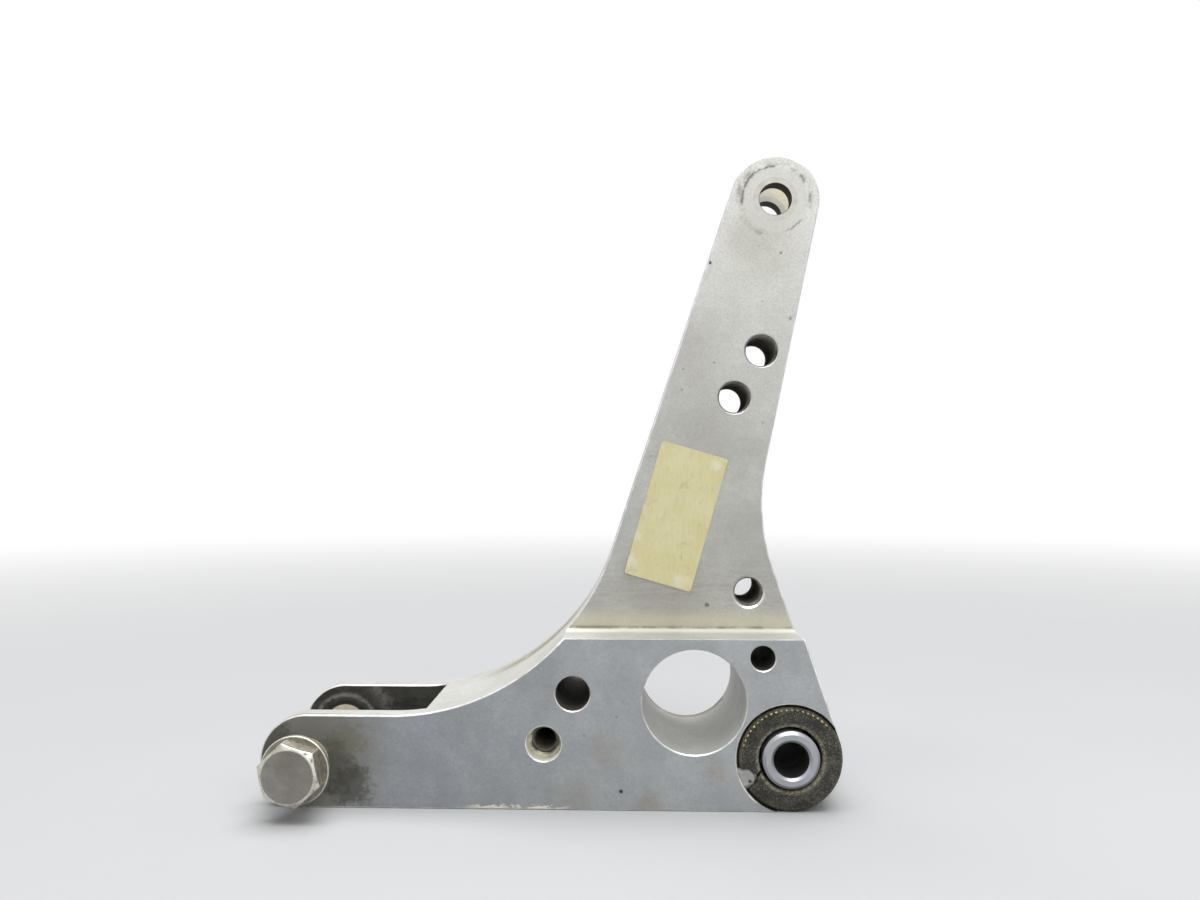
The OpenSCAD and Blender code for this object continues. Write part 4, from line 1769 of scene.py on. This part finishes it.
@dataclass
class Sticker:
    """The blank paper sticker, slightly rippled and lifting at its corners."""

    x: float = -19.0
    z: float = 41.1
    width: float = 12.7
    length: float = 25.5
    lean: float = 16.1
    face_y: float = -2.0
    gap: float = 0.012
    thick: float = 0.13
    corner: float = 0.5
    ripple: float = 0.03
    ripple_scale: Point = (0.28, 0.2)
    least: float = 0.004
    back_share: float = 0.85
    curl: float = 0.8
    curls: Point = (0.74, 0.8)
    steps: tuple[int, int] = (40, 80)

    def build(self) -> list[Thing]:
        """Builds the sticker as a thin closed sheet.

        Returns:
            The piece that it made.
        """
        across, along = self.steps
        lean = math.radians(self.lean)
        front: list[Vector] = []
        back: list[Vector] = []
        for j in range(along + 1):
            v = (j / along - 0.5) * self.length
            for i in range(across + 1):
                u = (i / across - 0.5) * self.width
                uu, vv = self._round(u, v)
                lift = self._lift(u, v)
                x = self.x + uu * math.cos(lean) + vv * math.sin(lean)
                z = self.z - uu * math.sin(lean) + vv * math.cos(lean)
                front.append(Vector((x, self.face_y - self.gap - lift - self.thick, z)) * MM)
                back.append(Vector((x, self.face_y - self.gap - lift * self.back_share, z)) * MM)
        quads = MeshBench.grid(across, along)
        sheet = MeshBench.shell("sticker", front + back, quads, PaperFinish("aged_paper"))
        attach(sheet, "lever")
        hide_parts("blank_label")
        return [sheet]

    def _round(self, u: float, v: float) -> Point:
        """Draws the sheet's corners in a little.

        Args:
            u: Place across the sheet.
            v: Place along the sheet.

        Returns:
            The moved place.
        """
        du = max(0.0, abs(u) - self.width / 2 + self.corner)
        dv = max(0.0, abs(v) - self.length / 2 + self.corner)
        over = math.hypot(du, dv) - self.corner
        if du > 0.0 and dv > 0.0 and over > 0.0:
            share = over / math.hypot(du, dv)
            u -= math.copysign(du * share, u)
            v -= math.copysign(dv * share, v)
        return u, v

    def _lift(self, u: float, v: float) -> float:
        """Measures how far the sheet stands off the metal, from ripples and lifted corners.

        Args:
            u: Place across the sheet.
            v: Place along the sheet.

        Returns:
            The distance in millimetres.
        """
        spot = Vector((u * self.ripple_scale[0], v * self.ripple_scale[1], 2.0))
        wave = self.ripple + self.ripple * noise.noise(spot)
        reach = u / self.width + v / self.length
        raised = max(0.0, reach - self.curls[0]) + max(0.0, -reach - self.curls[1])
        return max(self.least, wave) + self.curl * raised


@dataclass
class PlainSteel:
    """The solids whose shape is finished already, and which only need a finish."""

    finishes: dict[str, Finish] = field(default_factory=dict)

    def __post_init__(self) -> None:
        """Names the finish of each solid."""
        # Painted shade in the upper bush's bore
        bore_shade_tone = (0.015, 0.014, 0.012)
        pairs: dict[str, Finish] = {
            "upper_{}_bush": TurnedSteel(
                "upper_bush", (0.54, 0.535, 0.50), (0.36, 0.33, 0.25), 0.4, 0.42, EYE, 0.32, 3.07, bore_shade_tone
            ),
            "lower_{}_bush": TurnedSteel(
                "lower_bush", (0.76, 0.71, 0.57), (0.3, 0.27, 0.19), 0.3, 0.4, FORK, 0.35, 3.05
            ),
            "{}_inner_ring": TurnedSteel(
                "ground_sleeve", (0.44, 0.455, 0.495), (0.2, 0.19, 0.175), 0.25, 0.3, bore_r=3.07
            ),
            "{}_outer_ring": TurnedSteel("race_steel", clean=(0.55, 0.55, 0.53), soiled=0.4),
            "{}_balls": TurnedSteel("ball_steel", (0.7, 0.71, 0.73), soiled=0.1, polish=0.12, metal=0.9),
            # The cage is darkened to near black as painted shade in the gap beside the dust ring
            "{}_cage": BrassFinish("oiled_brass", (0.06, 0.05, 0.028), (0.018, 0.016, 0.011), 0.9),
        }
        for pattern, finish in pairs.items():
            for side in Side:
                self.finishes[pattern.format(side.name.lower())] = finish
        self.finishes["cotter_pin"] = PlatedSteel("cotter_steel", plate=(0.42, 0.41, 0.38), stained=0.5)
        # The spacer's bore_r covers all of it, so the whole spacer is painted shade
        self.finishes["centre_spacer"] = TurnedSteel("spacer_steel", soiled=0.5, metal=0.0, bore_r=20.0)

    def dress(self, nodes: dict[str, Thing]) -> None:
        """Puts each finish on its solid.

        Args:
            nodes: The solids by name.
        """
        for name, finish in self.finishes.items():
            slots = nodes[name].material_slots
            if not slots:
                nodes[name].data.materials.append(finish.material())
            for slot in slots:
                slot.material = finish.material()
            log.info("dressed %s in %s", name, finish.name)


@dataclass(frozen=True)
class Lamp:
    """A soft square lamp that points at a spot."""

    name: str
    place: Triple
    target: Triple
    size: float
    power: float


@dataclass
class Studio:
    """The pale floor, soft lamps, white surround and the camera."""

    floor_z: float = -0.009
    floor_r: float = 4.0
    floor_fade: Point = (60.0, 800.0)
    floor_tones: tuple[Colour, Colour] = ((0.46, 0.465, 0.475), (0.485, 0.49, 0.495))
    white: Colour = (1.0, 1.0, 1.0)
    ambient: float = 0.3
    eye: Triple = (-0.02755, -0.18234, 0.04925)
    pitch: float = 1.297
    yaw: float = 1.769
    lens: float = 29.13
    sensor: float = 36.0
    clip: Point = (0.005, 50.0)
    lamps: tuple[Lamp, ...] = (
        Lamp("overhead", (-0.02, 0.04, 0.90), (-0.03, 0.0, 0.03), 0.85, 11.0),
        Lamp("front_fill", (0.06, -0.26, 0.30), (-0.02, 0.0, 0.06), 0.3, 0.64),
    )

    def build(self) -> None:
        """Sets the floor, the lamps, the surround and the camera."""
        self._floor()
        self._surround()
        for lamp in self.lamps:
            self._light(lamp)
        self._camera()
        bpy.context.scene.view_settings.view_transform = "Standard"

    def _floor(self) -> None:
        """Lays a round floor that fades into the white surround."""
        mesh = bpy.data.meshes.new("floor")
        bench = bmesh.new()
        bmesh.ops.create_circle(bench, cap_ends=True, segments=128, radius=self.floor_r)
        bmesh.ops.translate(bench, verts=bench.verts, vec=(0.0, 0.0, self.floor_z))
        bench.to_mesh(mesh)
        bench.free()
        floor = MeshBench.place("floor", mesh)
        paint = bpy.data.materials.new("pale_floor")
        board = NodeBoard.fresh(paint)
        x, y, _ = board.xyz
        tone = board.blend(board.cloud(board.place, 0.02, 3.0, 0.5), *self.floor_tones)
        matte = {"Base Color": tone, "Roughness": 0.7, "Specular IOR Level": 0.2}
        shader = board.add("ShaderNodeBsdfPrincipled", matte).outputs[0]
        glow = board.add("ShaderNodeEmission").outputs[0]
        far = board.times(board.ease(board.reach(x, y), *self.floor_fade), board.seen_ray())
        mix = board.add("ShaderNodeMixShader", {0: far, 1: shader, 2: glow}).outputs[0]
        board.add("ShaderNodeOutputMaterial", {"Surface": mix})
        mesh.materials.append(paint)

    def _surround(self) -> None:
        """Makes the world white to the eye and in reflections, and dimmer as a light."""
        world = bpy.data.worlds.new("surround")
        board = NodeBoard.fresh(world)
        dim = {"Color": self.white, "Strength": self.ambient}
        lit = board.add("ShaderNodeBackground", dim).outputs[0]
        white = board.add("ShaderNodeBackground", {"Color": self.white}).outputs[0]
        mix = board.add("ShaderNodeMixShader", {0: board.seen_ray(), 1: lit, 2: white}).outputs[0]
        board.add("ShaderNodeOutputWorld", {"Surface": mix})
        bpy.context.scene.world = world

    @staticmethod
    def _light(lamp: Lamp) -> None:
        """Hangs one lamp.

        Args:
            lamp: The lamp.
        """
        data = bpy.data.lights.new(lamp.name, "AREA")
        data.shape = "SQUARE"
        data.size = lamp.size
        data.energy = lamp.power
        made = bpy.data.objects.new(lamp.name, data)
        made.location = lamp.place
        aim = Vector(lamp.target) - Vector(lamp.place)
        made.rotation_euler = aim.to_track_quat("-Z", "Y").to_euler()
        made.visible_camera = False
        bpy.context.scene.collection.objects.link(made)

    def _camera(self) -> None:
        """Sets the camera where the photograph was taken from."""
        data = bpy.data.cameras.new("camera")
        data.sensor_fit = "HORIZONTAL"
        data.sensor_width = self.sensor
        data.lens = self.lens
        data.clip_start, data.clip_end = self.clip
        made = bpy.data.objects.new("camera", data)
        made.location = self.eye
        made.rotation_euler = (math.radians(90.0 + self.pitch), 0.0, math.radians(self.yaw))
        bpy.context.scene.collection.objects.link(made)
        bpy.context.scene.camera = made


def main() -> None:
    """Loads the solids, dresses them and sets the studio."""
    logging.basicConfig(level=logging.INFO, format="%(name)s: %(message)s")
    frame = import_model()
    nodes: dict[str, Thing] = frame["nodes"]
    PlainSteel().dress(nodes)
    threads, crimps = ThreadTree(), CrimpTree()
    pieces = [
        *Lever().build(nodes, threads),
        *ForkBolt().build(nodes, threads),
        *PivotBearing().build(crimps),
        *Sticker().build(),
    ]
    for piece in pieces:
        log.info("built %s with %d faces", piece.name, len(piece.data.polygons))
    Studio().build()


if __name__ == "__main__":
    main()
